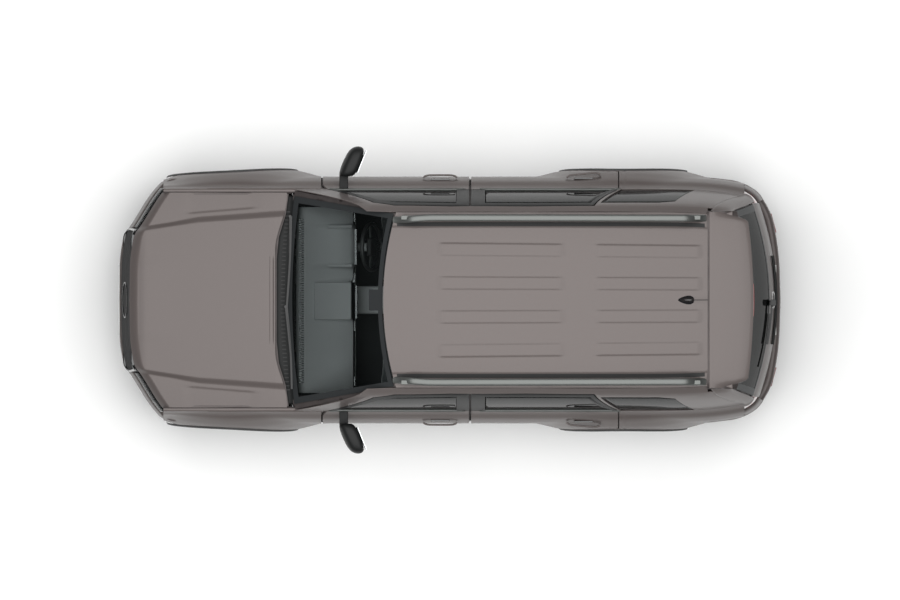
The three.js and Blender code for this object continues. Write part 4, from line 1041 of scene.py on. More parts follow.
def make_screen():
    """Windscreen with its fired black border, the cowl below it, and the wipers parked on it."""
    a, up = np.meshgrid(np.linspace(0, 1, 60), np.linspace(0, 1, 40), indexing="ij")
    make_piece("windscreen_pane", Shape().grid(screen_sheet(a, up)), MAT["clear"], "car_body",
               "window_glass", ["windscreen"], solid=0.005, away=(0, 0, 0))
    edge = Shape()
    for a0, a1, up0, up1 in ((0, 0.03, 0, 1), (0.97, 1, 0, 1), (0.03, 0.97, 0, 0.05),
                             (0.03, 0.97, 0.955, 1)):
        a, up = np.meshgrid(np.linspace(a0, a1, 40 if a1 - a0 > 0.5 else 3), np.linspace(up0, up1, 30),
                            indexing="ij")
        edge.grid(screen_sheet(a, up, -0.0012))
    a, up = np.meshgrid(np.linspace(0.44, 0.56, 8), np.linspace(0.86, 0.96, 8), indexing="ij")
    edge.grid(screen_sheet(a, up, -0.0012))
    make_piece("windscreen_frit", edge, MAT["frit"], "car_body", "window_glass", away=(0, 0, 0))
    y = np.linspace(-0.775, 0.775, 90)
    rear = screen_base(y)
    front = bonnet_rear(y)
    rows = []
    for share, z in ((-0.15, 1.176), (0.0, 1.17), (0.25, 1.158), (0.5, 1.152), (0.8, 1.15), (1.15, 1.138),
                     (1.6, 1.13)):
        drop = 0.04 * (y / SCREEN_HALF) ** 2
        rows.append(np.stack([rear + (front + 0.02 - rear) * share, y, z - drop], 1))
    make_piece("cowl_panel", Shape().grid(np.stack(rows)), MAT["satin"], "car_body", "black_plastic",
               solid=0.003, away=(1.2, 0, 0))
    ribs = Shape()
    for y0 in np.arange(-0.66, 0.67, 0.03):
        x0 = screen_base(y0)
        ribs.tube(rounded_box([x0 + 0.018, y0, 1.146 - 0.04 * (y0 / SCREEN_HALF) ** 2],
                              [x0 + 0.052, y0 + 0.012, 1.163 - 0.04 * (y0 / SCREEN_HALF) ** 2], 0.003, 2))
    make_piece("cowl_louvres", ribs, MAT["rubber"], "car_body", "black_plastic")
    wipers = Shape()
    for pivot, tip in ((-0.62, 0.06), (0.05, 0.66)):
        ys = np.linspace(pivot, tip, 30)
        x = screen_base(ys) + 0.006 - 0.016 * np.sin(np.linspace(0, np.pi, 30))
        z = 1.19 - 0.034 * (ys / SCREEN_HALF) ** 2 + 0.008
        wipers.tube(sweep(np.stack([x, ys, z], 1), box_section(0.016, 0.007), up=(0.3, 0, 1)))
        arm = np.stack([np.linspace(SCREEN_BASE + 0.014, x[17], 16) - SCREEN_BOW
                        * (pivot / SCREEN_HALF) ** 2 * np.linspace(1, 0, 16),
                        np.linspace(pivot, ys[17], 16),
                        z[0] - 0.004 + 0.008 * np.sin(np.linspace(0, np.pi, 16))], 1)
        wipers.tube(sweep(arm, box_section(0.014, 0.007), up=(0.3, 0, 1)))
        hub = turned_up([[0.001, 0.006], [0.01, 0.006], [0.012, 0.0], [0.012, -0.02]], arm[0], 16)
        wipers.lathed(hub)
    make_piece("wipers", wipers, MAT["trim"], "car_body", "black_plastic")


def turned_up(profile, centre, count=24):
    """A profile of [radius, height] points turned about the upright line through centre."""
    profile = np.array(profile, float)
    turn = np.linspace(0, 2 * np.pi, count, endpoint=False)[:, None]
    return np.stack([
        centre[0] + profile[None, :, 0] * np.cos(turn), centre[1] + profile[None, :, 0] * np.sin(turn),
        centre[2] + np.broadcast_to(profile[None, :, 1], (count, len(profile))),
    ], -1)


# ---------------------------------------------------------------- tail
TAIL_TOP = float(crown(TAIL_HINGE))
TAIL_GLASS_TOP = TAIL_TOP - 0.088
TAIL_GLASS_FOOT = 1.198
TAIL_PROFILE = smooth_line([
    [0.6, TAIL + 0.05], [0.648, TAIL + 0.044], [0.85, TAIL + 0.034], [1.0, TAIL + 0.044],
    [BELT, TAIL + 0.072], [1.196, TAIL + 0.087], [TAIL_TOP - 0.076, TAIL + 0.247],
])


def tail_x(y, z):
    """Rear face of the tailgate: a smooth profile in height, bowed forward towards the sides."""
    return TAIL_PROFILE(z) + tail_bow(y)


def tail_half(z):
    """Half-width of the tailgate: 0.72 up to the belt, tapering to 0.648 at the roof."""
    return 0.72 - 0.072 * rise(z, BELT, TAIL_TOP)


def tail_grid(z_low, z_high, inset, out=0.0, rows=40, columns=50):
    """A grid on the tailgate's rear face between two heights and within its half-width less an inset."""
    z, v = np.meshgrid(np.linspace(z_low, z_high, rows), np.linspace(-1, 1, columns), indexing="ij")
    y = v * (tail_half(z) - inset)
    return np.stack([tail_x(y, z) - out, y, z], -1)


def make_tailgate():
    """The tailgate: a lower skin, a frame round the glass, and a spoiler whose closed section is carried
    across the car and drawn in at its ends."""
    lower = tail_grid(0.652, 1.196, 0.0)
    z = lower[..., 2]
    inside = (1 - ramp(np.abs(lower[..., 1]), 0.27, 0.3)) * ramp(z, 0.86, 0.875) * (1 - ramp(z, 1.0, 1.015))
    lower[..., 0] += 0.016 * inside
    lower[..., 0] -= 0.006 * ramp(z, 1.04, 1.07) * (1 - ramp(z, 1.12, 1.17))
    body = "tailgate_lid"
    make_piece("tailgate_skin", Shape().grid(lower), MAT["paint"], body, "paint", solid=0.005, bevel=0.002)
    core_of("tailgate", (0.012, 0.004, -0.006), MAT["inner_paint"], "tailgate_frame")
    z, v = np.meshgrid(np.linspace(TAIL_GLASS_FOOT, TAIL_GLASS_TOP, 30), np.linspace(-1, 1, 50),
                       indexing="ij")
    y = v * (0.695 - 0.075 * rise(z, 1.2, TAIL_TOP - 0.1))
    make_piece("tailgate_pane", Shape().grid(np.stack([tail_x(y, z) - 0.003, y, z], -1)), MAT["tinted"],
               body, "window_glass", ["tailgate_glass"], solid=0.004)
    edge = Shape()
    for low, high in ((-1, -0.93), (0.93, 1)):
        z, v = np.meshgrid(np.linspace(TAIL_GLASS_FOOT, TAIL_GLASS_TOP, 24), np.linspace(low, high, 4),
                           indexing="ij")
        y = v * (tail_half(z) - 0.002)
        edge.grid(np.stack([tail_x(y, z) - 0.0045, y, z], -1))
    for low, high in ((TAIL_GLASS_FOOT, 1.225), (TAIL_TOP - 0.12, TAIL_GLASS_TOP)):
        edge.grid(tail_grid(low, high, 0.03, 0.0048, 4, 40))
    make_piece("tailgate_frit", edge, MAT["frit"], body, "window_glass")
    y = np.linspace(-0.655, 0.655, 90)
    side = np.abs(y) / 0.655
    tip = TAIL + 0.203 + 0.05 * side**2 + 0.17 * ramp(side, 0.86, 1.0) ** 2
    section = []
    for share, drop in ((0.0, 0.0), (0.3, 0.004), (0.7, 0.016), (0.92, 0.026), (1.0, 0.036), (0.99, 0.05),
                        (0.93, 0.062), (0.8, 0.07), (0.4, 0.07), (0.0, 0.04)):
        x = (TAIL_HINGE - 0.003) * (1 - share) + tip * share
        section.append(np.stack([x, y, TAIL_TOP + 0.003 - drop - 0.058 * np.abs(y / 0.72) ** 4], 1))
    spoiler = solid_of(np.stack(section, 1))
    make_piece("spoiler", spoiler, MAT["paint"], body, "paint", bevel=0.004)
    lamp = [[x, y0, TAIL_TOP - 0.052] for y0, x in ((-0.12, TAIL + 0.206), (0, TAIL + 0.203),
                                                    (0.12, TAIL + 0.206))]
    make_piece("high_stop_lamp", solid_of(sweep(lamp, box_section(0.01, 0.014))),
               MAT["red"], body, "tail_lamp_lens")
    wiper = Shape()
    base = np.array([tail_x(0.0, 1.2) - 0.028, 0.02, 1.212])
    spots = np.array([[tail_x(y0, z0) - 0.026, y0, z0] for y0,
                      z0 in np.linspace([0.02, 1.215], [0.33, 1.25], 20)])
    wiper.tube(sweep(spots, box_section(0.014, 0.012)))
    blade = np.array([[tail_x(y0, z0) - 0.014, y0, z0] for y0,
                      z0 in np.linspace([0.1, 1.23], [0.5, 1.262], 20)])
    wiper.tube(sweep(blade, box_section(0.01, 0.012)))
    wiper.tube(rounded_box(base - 0.024, base + [0.022, 0.024, 0.03], 0.01))
    make_piece("rear_wiper", wiper, MAT["trim"], body, "black_plastic")
    plate = solid_of(rounded_box([tail_x(0, 0.93) - 0.002, -0.26, 0.88],
                                 [tail_x(0, 0.93) + 0.012, 0.26, 0.99], 0.003))
    make_piece("rear_plate_blank", plate, MAT["plate"], body, "paint")
    badge = ring_badge(lambda y, z: tail_x(y, z) - 0.004, (0.0, 1.09), 0.06, 0.042, -1)
    make_piece("rear_badge_blank", badge, MAT["chrome"], body, "rail_satin")
    bar = np.array([[tail_x(y0, 1.03) - 0.012, y0, 1.03] for y0 in np.linspace(-0.33, 0.33, 40)])
    make_piece("tailgate_handle_bar", solid_of(sweep(bar, box_section(0.02, 0.03, 0.006))),
               MAT["satin"], body, "black_plastic")


def ring_badge(face, centre, half_width, half_height, way):
    """A plain oval ring, its round section carried about an ellipse that lies on a face."""
    turn = np.linspace(0, 2 * np.pi, 48, endpoint=False)[:, None]
    tube = np.linspace(0, 2 * np.pi, 10, endpoint=False)[None, :]
    y = centre[0] + (half_width + 0.005 * np.cos(tube)) * np.cos(turn)
    z = centre[1] + (half_height + 0.005 * np.cos(tube)) * np.sin(turn)
    x = face(y, z) + way * 0.004 * np.sin(tube)
    return Shape().ring(np.stack([x, y, z], -1))


REAR_BUMPER = np.array([
    [TAIL + 0.003, 0.0], [TAIL + 0.012, 0.294], [TAIL + 0.03, 0.446], [TAIL + 0.06, 0.602],
    [TAIL + 0.09, 0.676],
    [TAIL + 0.163, 0.8], [TAIL + 0.25, 0.856], [TAIL + 0.34, 0.888], [TAIL + 0.56, 0.913],
    [REAR_AXLE - ARCH_RADIUS - 0.002, 0.925],
])


def plan_path(line, count=80):
    """A line in plan smoothed by rounding its corners, at even steps, from the middle of the car outwards."""
    return along(rounded(line, 0.2, 10), count)


def bumper_grid(path, levels):
    """A bumper's skin: a path in plan, moved in along its own normal by the second number at each height."""
    ahead = np.gradient(path, axis=0)
    ahead /= np.linalg.norm(ahead, axis=1, keepdims=True)
    inward = np.stack([-ahead[:, 1], ahead[:, 0]], 1)
    middle = np.array([0.0, 0.0])
    if np.sum(inward * (middle - path)) < 0:
        inward = -inward
    return np.stack([
        np.concatenate([path + inward * inset, np.full((len(path), 1), z)], 1) for z, inset in levels
    ], 1)


def make_rear_bumper():
    """Rear bumper: a grained skirt under a painted band, wrapped round both corners, with the
    painted corners, tail lamps and pillars above it."""
    path = plan_path(REAR_BUMPER)
    whole = np.concatenate([path[::-1] * [1, -1], path[1:]])
    painted = bumper_grid(whole, ((0.5, 0.004), (0.504, -0.0), (0.56, 0.0), (0.62, 0.004), (0.632, 0.012),
                                  (0.636, 0.03), (0.636, 0.09)))
    make_piece("rear_bumper_band", Shape().grid(painted), MAT["paint"], "car_body", "paint",
               ["rear_bumper"], solid=0.004, away=(-1.6, 0, 0.5))
    skirt = bumper_grid(whole, ((0.5, 0.001), (0.46, 0.006), (0.4, 0.016), (0.38, 0.024), (0.372, 0.045),
                                (0.372, 0.14)))
    make_piece("rear_bumper_skirt", Shape().grid(skirt), MAT["trim"], "car_body", "black_plastic",
               solid=0.004, away=(-1.6, 0, 0.6))
    corner = path[path[:, 1] > 0.735]
    corner = corner[corner[:, 0] < QUARTER_REAR - 0.004]
    grid = bumper_grid(corner, ((0.63, 0.006), (0.7, 0.012), (0.76, 0.022), (0.798, 0.034), (0.808, 0.046),
                                (0.81, 0.08)))
    pair("{side}_bumper_corner", [grid], MAT["paint"], "car_body", "paint", solid=0.004, bevel=0.001,
         away=(-1.6, 0, 0.6))
    grid = bumper_grid(corner, ((0.816, 0.05), (0.83, 0.044), (0.95, 0.052), (1.06, 0.062), (1.084, 0.07),
                                (1.088, 0.1)))
    pair("{side}_tail_lamp_lens", [grid], MAT["red"], "car_body", "tail_lamp_lens", ["{side}_tail_lamp"],
         solid=0.006, bevel=0.002, away=(-1.6, 0, 0.9))
    rail = cant(TAIL_HINGE)
    z = np.concatenate([np.linspace(1.093, BELT_SEAM, 5)[:-1], np.linspace(BELT_SEAM, rail, 26)])
    x = np.interp(z, [1.093, BELT_SEAM, rail - RAIL_DEPTH, rail], [
        QUARTER_REAR, QUARTER_REAR + 0.009, TAIL_HINGE - 0.031, TAIL_HINGE + 0.004])
    fore = on_side(np.stack([x, z], 1))
    edge = tail_half(z) + 0.006
    aft = np.stack([tail_x(edge, z) + 0.004, edge, z], 1)
    bend = np.stack([aft[:, 0] * 0.75 + fore[:, 0] * 0.25, fore[:, 1] * 0.99, z], 1)
    t = np.linspace(0, 1, 14)[None, :, None]
    pillar = (1 - t) ** 2 * fore[:, None] + 2 * t * (1 - t) * bend[:, None] + t * t * aft[:, None]
    cap = [pillar[-1] * [1, share, 1] + [0, 0, up] for share,
           up in ((0.99, 0.003), (0.96, 0.004), (0.93, 0.003))]
    pair("{side}_corner_pillar", [np.concatenate([pillar, cap])], MAT["paint"], "car_body", "paint",
         solid=0.004, away=(-1.6, 0, 1.2))
    bar = along([[TAIL + 0.076, 0.64, 0.545], [TAIL + 0.04, 0.5, 0.545]], 12)
    pair("{side}_rear_reflector", [sweep(bar, box_section(0.012, 0.03, 0.003))], MAT["red"], "car_body",
         "tail_lamp_lens", add=Shape.tube)


# ---------------------------------------------------------------- nose
def nose_grid(y, levels, out=0.0):
    """A grid on the front of the car over half-widths y and pairs of height and how far it stands back."""
    rows = []
    for z, back in levels:
        rows.append(np.stack([nose_x(y, z) - back + out, y, np.full_like(y, z)], 1))
    return np.stack(rows, 1)


def make_nose():
    """Front bumper, grille and lamps, all on the bow of the car's front."""
    y = np.linspace(-0.912, 0.912, 140)
    lower = nose_grid(y, ((0.322, 0.14), (0.322, 0.06), (0.33, 0.045), (0.36, 0.03), (0.42, 0.012),
                          (0.47, 0.004), (0.5, 0.003)))
    make_piece("front_bumper_skirt", Shape().grid(lower), MAT["trim"], "car_body", "black_plastic",
               ["front_bumper"], solid=0.004, away=(1.4, 0, 0.6))
    band = nose_grid(y, ((0.502, 0.008), (0.506, 0.0), (0.56, 0.0), (0.64, 0.0), (0.68, 0.003),
                         (0.686, 0.012)))
    make_piece("front_bumper_band", Shape().grid(band), MAT["paint"], "car_body", "paint", solid=0.004,
               away=(1.4, 0, 0.6))
    cheek = np.linspace(0.535, 0.9, 50)
    pair("{side}_bumper_cheek", [nose_grid(cheek,
                                           ((0.68, 0.0), (0.72, 0.0), (0.78, 0.0), (0.812, 0.003),
                                            (0.818, 0.014), (0.82, 0.04)))],
         MAT["paint"], "car_body", "paint", solid=0.004, away=(1.4, 0, 0.7))
    back = np.linspace(-0.53, 0.53, 60)
    make_piece("grille_backing", Shape().grid(nose_grid(back, ((0.7, 0.06), (0.85, 0.055), (1.0, 0.05)))),
               MAT["liner"], "car_body", "black_plastic", ["grille"], solid=0.004, away=(1.4, 0, 0.8))
    bars = Shape()
    for z in np.arange(0.735, 0.99, 0.052):
        path = np.stack([nose_x(back, z) - 0.02, back, np.full_like(back, z)], 1)
        bars.tube(sweep(path, box_section(0.028, 0.018, 0.006)))
    for y0 in np.arange(-0.48, 0.49, 0.06):
        path = np.array([[nose_x(y0, z) - 0.034, y0, z] for z in np.linspace(0.71, 1.0, 12)])
        bars.tube(sweep(path, box_section(0.006, 0.02, 0.002), up=(1, 0, 0)))
    make_piece("grille_bars", bars, MAT["trim"], "car_body", "black_plastic")
    line = rounded([[-0.528, 0.705], [0.528, 0.705], [0.515, 1.008], [-0.515, 1.008]], 0.06, 6, closed=True)
    frame_path = np.stack([nose_x(line[:, 0], line[:, 1]) - 0.006, line[:, 0], line[:, 1]], 1)
    frame_path = np.concatenate([frame_path, frame_path[:2]])
    section = box_section(0.02, 0.026, 0.006)
    make_piece("grille_surround", Shape().ring(sweep(frame_path, section, up=(1, 0, 0))[:-1]),
               MAT["gloss"], "car_body", "black_plastic")
    badge = ring_badge(lambda y, z: nose_x(y, z) - 0.006, (0.0, 0.86), 0.13, 0.075, 1)
    make_piece("front_badge_blank", badge, MAT["gloss"], "car_body", "black_plastic")
    panel = nose_grid(np.linspace(-0.8, 0.8, 100),
                      ((1.006, 0.03), (1.012, 0.012), (1.03, 0.012), (1.04, 0.03), (1.04, 0.12)))
    make_piece("bonnet_landing", Shape().grid(panel), MAT["gloss"], "car_body", "black_plastic",
               solid=0.004, away=(1.4, 0, 0.9))
    lamp_y = np.linspace(0.54, 0.828, 40)
    pair("{side}_headlamp_cover", [nose_grid(lamp_y,
                                             ((0.826, 0.02), (0.83, 0.006), (0.86, 0.0), (0.93, 0.002),
                                              (0.985, 0.01), (0.996, 0.03)))],
         MAT["lens"], "car_body", "headlamp_lens", ["{side}_headlamp"], solid=0.003, away=(1.4, 0, 0.8))
    pair("{side}_headlamp_housing", [nose_grid(lamp_y,
                                               ((0.83, 0.02), (0.834, 0.075), (0.92, 0.085), (0.985, 0.08),
                                                (0.992, 0.03)))],
         MAT["gloss"], "car_body", "black_plastic", solid=0.002, away=(1.4, 0, 0.8))
    bowls, lights = [], []
    for y0, size in ((0.6, 0.036), (0.69, 0.036), (0.765, 0.028)):
        centre = (float(nose_x(y0, 0.9)) - 0.05, y0, 0.9)
        bowls.append(turned_ahead([
            [0.001, -0.03], [size * 0.6, -0.02], [size, 0.012], [size + 0.004, 0.014],
            [size + 0.004, -0.03],
        ], centre, 28))
        lights.append(turned_ahead([
            [0.001, 0.006], [size * 0.4, 0.003], [size * 0.7, -0.008], [size * 0.7, -0.02], [0.001, -0.02],
        ], centre, 28))
    pair("{side}_headlamp_bowls", bowls, MAT["mirror"], "car_body", "headlamp_lens", add=Shape.lathed)
    pair("{side}_headlamp_lenses", lights, MAT["display"], "car_body", "headlamp_lens", add=Shape.lathed)
    strip = np.array([[float(nose_x(y0, 0.975)) - 0.03, y0, 0.972] for y0 in np.linspace(0.56, 0.8, 24)])
    pair("{side}_day_light", [sweep(strip, box_section(0.012, 0.01))], MAT["plate"], "car_body",
         "headlamp_lens", add=Shape.tube)
    block = rounded_box([NOSE - 0.006, -0.26, 0.55], [NOSE + 0.004, 0.26, 0.66], 0.003)
    make_piece("front_plate_blank", solid_of(block), MAT["plate"], "car_body", "paint")


def turned_ahead(profile, centre, count=32):
    """A profile of [radius, forward] points turned about the line through centre along X."""
    profile = np.array(profile, float)
    turn = np.linspace(0, 2 * np.pi, count, endpoint=False)[:, None]
    return np.stack([
        centre[0] + np.broadcast_to(profile[None, :, 1], (count, len(profile))),
        centre[1] + profile[None, :, 0] * np.cos(turn), centre[2] + profile[None, :, 0] * np.sin(turn),
    ], -1)


def make_mirrors():
    """Door mirrors: a rounded shell, its glass, and a foot on the door."""
    sections = []
    for y, scale in ((0.915, 0.6), (0.93, 0.86), (0.97, 1.0), (1.04, 1.0), (1.095, 0.9), (1.122, 0.72),
                     (1.136, 0.42), (1.1405, 0.1)):
        turn = np.linspace(0, 2 * np.pi, 32, endpoint=False)
        c, s = np.cos(turn), np.sin(turn)
        x = 0.768 - 0.4 * (y - 0.925) + 0.066 * scale * np.sign(c) * np.abs(c) ** 0.75
        z = 1.205 + 0.095 * scale * np.sign(s) * np.abs(s) ** 0.65
        sections.append(np.stack([x - 0.1 * (z - 1.2), np.full(32, y), z], 1))
    body = "{side}_front_door_body"
    pair("{side}_mirror_shell", [np.stack(sections)], MAT["satin"], body, "black_plastic",
         ["{side}_door_mirror"], levels=1, add=Shape.tube)
    feet = [rounded_box([0.755, 0.8, 1.108], [0.822, 0.95, 1.142], 0.012),
            rounded_box([0.7, 0.935, 1.104], [0.8, 1.0, 1.125], 0.01)]
    pair("{side}_mirror_foot", feet, MAT["satin"], body, "black_plastic", add=Shape.tube)
    glass = rounded_box([0.698, 0.945, 1.125], [0.704, 1.11, 1.275], 0.0025)
    glass[..., 0] -= 0.4 * (glass[..., 1] - 0.925) + 0.1 * (glass[..., 2] - 1.2)
    pair("{side}_mirror_glass", [glass], MAT["mirror"], body, "black_plastic", add=Shape.tube)


# ---------------------------------------------------------------- wheels
def make_wheel(node, body, x, side_y, outward, tread_depth):
    """A wheel: a tyre turned from its section with blocks cut in its tread by a wave and grooves, and a cast
    rim with a barrel and six split spokes."""
    centre = np.array([x, side_y, WHEEL_Z])
    half = TYRE_WIDTH / 2
    section = np.array([
        [0.238, -0.098], [0.25, -0.108], [0.285, -0.122], [0.315, -half], [0.35, -0.124], [0.372, -0.114],
        [0.386, -0.104], *[[TYRE_RADIUS - 0.0015, w] for w in np.linspace(-0.092, 0.092, 38)],
        [0.386, 0.104], [0.372, 0.114], [0.35, 0.124], [0.315, half], [0.285, 0.122], [0.25, 0.108],
        [0.238, 0.098],
    ])
    grid = turned(section, centre, 480)
    turn = np.linspace(0, 2 * np.pi, 480, endpoint=False)[:, None]
    w = section[None, :, 1]
    across = np.abs(np.sin(turn * 34 + np.sign(w) * 0.6 + np.abs(w) * 9)) < 0.28
    along_groove = (np.abs(np.abs(w) - 0.03) < 0.0055) | (np.abs(w) < 0.003)
    cut = np.where((across & (np.abs(w) > 0.036)) | along_groove, tread_depth,
                   0.0) * (section[None, :, 0] > 0.38)
    shoulder = np.where(across & (np.abs(w) > 0.1), 0.006, 0.0) * (section[None, :, 0] > 0.365)
    depth = np.maximum(cut, shoulder)
    grid[..., 0] -= depth * np.cos(turn)
    grid[..., 2] -= depth * np.sin(turn)
    make_piece(f"{node}_tread", Shape().ring(grid), MAT["tyre"], body, "tyre_rubber",
               [f"{node}_tyre"], sharp=28)
    rim = Shape()
    barrel = np.array([[0.239, -0.098], [0.232, -0.094], [0.216, -0.086], [0.205, -0.04], [0.205, 0.05],
                       [0.218, 0.076],
                       [0.232, 0.09], [0.24, 0.0975], [0.243, 0.095], [0.238, 0.088], [0.226, 0.075],
                       [0.212, 0.05], [0.212, -0.04], [0.222, -0.088]]) * [1, outward]
    rim.ring(turned(barrel, centre, 96))
    hub = np.array([[0.001, 0.055], [0.03, 0.055], [0.034, 0.05], [0.036, 0.04], [0.07, 0.036],
                    [0.078, 0.03], [0.08, 0.0], [0.001, 0.0]]) * [1, outward]
    rim.lathed(turned(hub, centre, 64))
    for k in range(6):
        for split in (-1, 1):
            angle = k * math.pi / 3 + 0.3
            spokes = []
            for t in np.linspace(0, 1, 14):
                r = 0.06 + 0.155 * t
                spread = split * (0.006 + 0.05 * t**1.6)
                out = 0.034 + 0.022 * math.sin(t * 2.4)
                spokes.append([
                    centre[0] + r * math.cos(angle) - spread * math.sin(angle), centre[1] + outward * out,
                    centre[2] + r * math.sin(angle) + spread * math.cos(angle),
                ])
            rim.tube(sweep(np.array(spokes), box_section(0.024, 0.03, 0.006), up=(0, outward, 0)))
    for k in range(6):
        angle = k * math.pi / 3
        spot = centre + [0.052 * math.cos(angle), 0, 0.052 * math.sin(angle)]
        rim.lathed(turned(np.array([[0.001, 0.052], [0.008, 0.05], [0.01, 0.044], [0.01, 0.03]])
                          * [1, outward], spot, 6))
    make_piece(f"{node}_alloy", rim, MAT["alloy"], body, "alloy", [f"{node}_rim"])


def make_wheels(sizes):
    """The four wheels with their tyres and brake discs."""
    for side, sign in sides():
        for end, x in (("front", FRONT_AXLE), ("rear", REAR_AXLE)):
            body = f"{side}_{end}_wheel"
            y = sign * TRACK_HALF if end == "front" else JOINTS[f"{side}_rear_wheel_spin"]["pos_m"][1]
            make_wheel(f"{side}_{end}", body, x, y, sign, sizes.tread_depth)
            inner = y - sign * 0.03
            plate = np.array([[0.06, 0.02], [0.085, 0.02], [0.1, 0.006], [0.165, 0.006], [0.167, 0.004],
                              [0.167, -0.02], [0.165, -0.022], [0.1, -0.022], [0.06, -0.01]]) * [1, sign]
            make_piece(f"{side}_{end}_disc", Shape().ring(turned(plate, (x, inner, WHEEL_Z), 64)),
                       MAT["disc"], body, "cast_iron")


# ---------------------------------------------------------------- cabin
def make_dashboard():
    """Dashboard, its hoods, screens and vents, the middle console, and the steering wheel."""
    y = np.linspace(-0.69, 0.69, 120)
    hump = ramp(y, -0.565, -0.53) * (1 - ramp(y, -0.27, -0.235))
    mid = ramp(y, -0.16, -0.13) * (1 - ramp(y, 0.13, 0.16))
    rear = 0.712 + 0.02 * mid - 0.012 * hump
    section = []
    for share, z, lift in ((0.0, 0.7, 0), (0.02, 0.8, 0), (0.03, 0.98, 0), (0.0, 1.03, 0.01),
                           (0.02, 1.062, 0.03), (0.1, 1.078, 0.036),
                           (0.3, 1.092, 0.03), (0.55, 1.1, 0.008), (0.8, 1.104, 0.0), (0.97, 1.1, 0.0),
                           (1.0, 1.09, 0), (1.0, 0.75, 0)):
        x = rear * (1 - share) + 1.142 * share
        section.append(np.stack([x, y, z + lift * hump + 0.5 * lift * mid], 1))
    dash = solid_of(np.stack(section, 1))
    make_piece("dashboard_skin", dash, MAT["soft_trim"], "car_body", "cabin_plastic", ["dashboard"],
               sharp=50)
    hood = solid_of(rounded_box([0.73, -0.135, 1.07], [1.01, 0.15, 1.123], 0.016))
    for y0 in (-0.545, -0.255):
        hood.tube(rounded_box([0.722, y0 - 0.014, 1.06], [0.91, y0 + 0.014, 1.128], 0.012))
    make_piece("dashboard_hoods", hood, MAT["soft_trim"], "car_body", "cabin_plastic")
    gauges = solid_of(rounded_box([0.69, -0.53, 1.0], [0.712, -0.26, 1.088], 0.008))
    gauges.tube(rounded_box([0.686, -0.11, 1.0], [0.706, 0.14, 1.118], 0.008))
    make_piece("display_panels", gauges, MAT["display"], "car_body", "cabin_plastic")
    vents = Shape()
    for y0, y1 in ((-0.67, -0.58), (-0.2, -0.13), (0.16, 0.23), (0.57, 0.66)):
        for z in np.arange(0.96, 1.03, 0.014):
            vents.tube(rounded_box([0.704, y0, z], [0.722, y1, z + 0.005], 0.002, 2))
    for y0 in np.arange(-0.6, 0.61, 0.0175):
        vents.tube(rounded_box([1.085, y0, 1.103], [1.12, y0 + 0.008, 1.108], 0.002, 2))
    make_piece("air_vents", vents, MAT["gloss"], "car_body", "cabin_plastic")
    trim = between([0.703, -0.66, 0.945], [0.703, 0.66, 0.945], 60)
    make_piece("dash_trim_strip", solid_of(sweep(trim, box_section(0.012, 0.022, 0.004))),
               MAT["rail"], "car_body", "cabin_plastic")
    console = solid_of(rounded_box([0.0, -0.105, 0.59], [0.7, 0.105, 0.8], 0.025))
    console.tube(rounded_box([-0.2, -0.1, 0.59], [0.16, 0.1, 0.875], 0.03))
    make_piece("console", console, MAT["soft_trim"], "car_body", "cabin_plastic")
    knob = turned_up([[0.001, 0.11], [0.016, 0.105], [0.024, 0.085], [0.018, 0.06], [0.01, 0.05],
                      [0.01, 0.0]], (0.42, 0.0, 0.79), 24)
    make_piece("gear_selector", Shape().lathed(knob), MAT["hide"], "car_body", "cabin_plastic")
    centre = np.array(JOINTS["steering_wheel_turn"]["pos_m"])
    tilt = 0.42
    ahead = np.array([math.cos(tilt), 0, -math.sin(tilt)])
    up = np.array([math.sin(tilt), 0, math.cos(tilt)])
    left = np.array([0, 1.0, 0])

    def placed(flat):
        return centre + flat[..., :1] * left + flat[..., 1:2] * up + flat[..., 2:] * ahead

    turn = np.linspace(0, 2 * np.pi, 96, endpoint=False)
    ring = np.stack([0.172 * np.cos(turn), 0.172 * np.sin(turn), 0 * turn], 1)
    tube = np.linspace(0, 2 * np.pi, 14, endpoint=False)
    radial = ring / 0.172
    shape = Shape().ring(placed(
        ring[:, None] + radial[:, None] * (0.0145 * np.cos(tube))[None, :, None]
        + np.array([0, 0, 1.0]) * (0.0165 * np.sin(tube))[None, :, None]))
    pad = rounded_box([-0.07, -0.055, -0.02], [0.07, 0.05, 0.022], 0.018)
    shape.tube(placed(pad))
    make_piece("steering_rim", shape, MAT["hide"], "steering_wheel_body", "steering_leather",
               ["steering_wheel"])
    spokes = Shape()
    for a in (0.08, math.pi - 0.08, -math.pi / 2 - 0.22, -math.pi / 2 + 0.22):
        path = np.array([[r * math.cos(a), r * math.sin(a), 0.004] for r in np.linspace(0.05, 0.168, 10)])
        spokes.tube(placed(sweep(path, box_section(0.028 if abs(a) < 1 or a > 3 else 0.016, 0.012, 0.004),
                                 up=(0, 0, 1))))
    make_piece("steering_spokes", spokes, MAT["rail"], "steering_wheel_body", "steering_leather")
    column = np.array([centre + ahead * t for t in np.linspace(0.03, 0.2, 8)])
    make_piece("steering_column", solid_of(sweep(column, circle_section(0.032, 20))),
               MAT["soft_trim"], "car_body", "cabin_plastic")
    mirror = solid_of(rounded_box([0.47, -0.12, 1.62], [0.49, 0.12, 1.685], 0.01))
    make_piece("cabin_mirror", mirror, MAT["gloss"], "car_body", "cabin_plastic")


CUSHIONS = {}


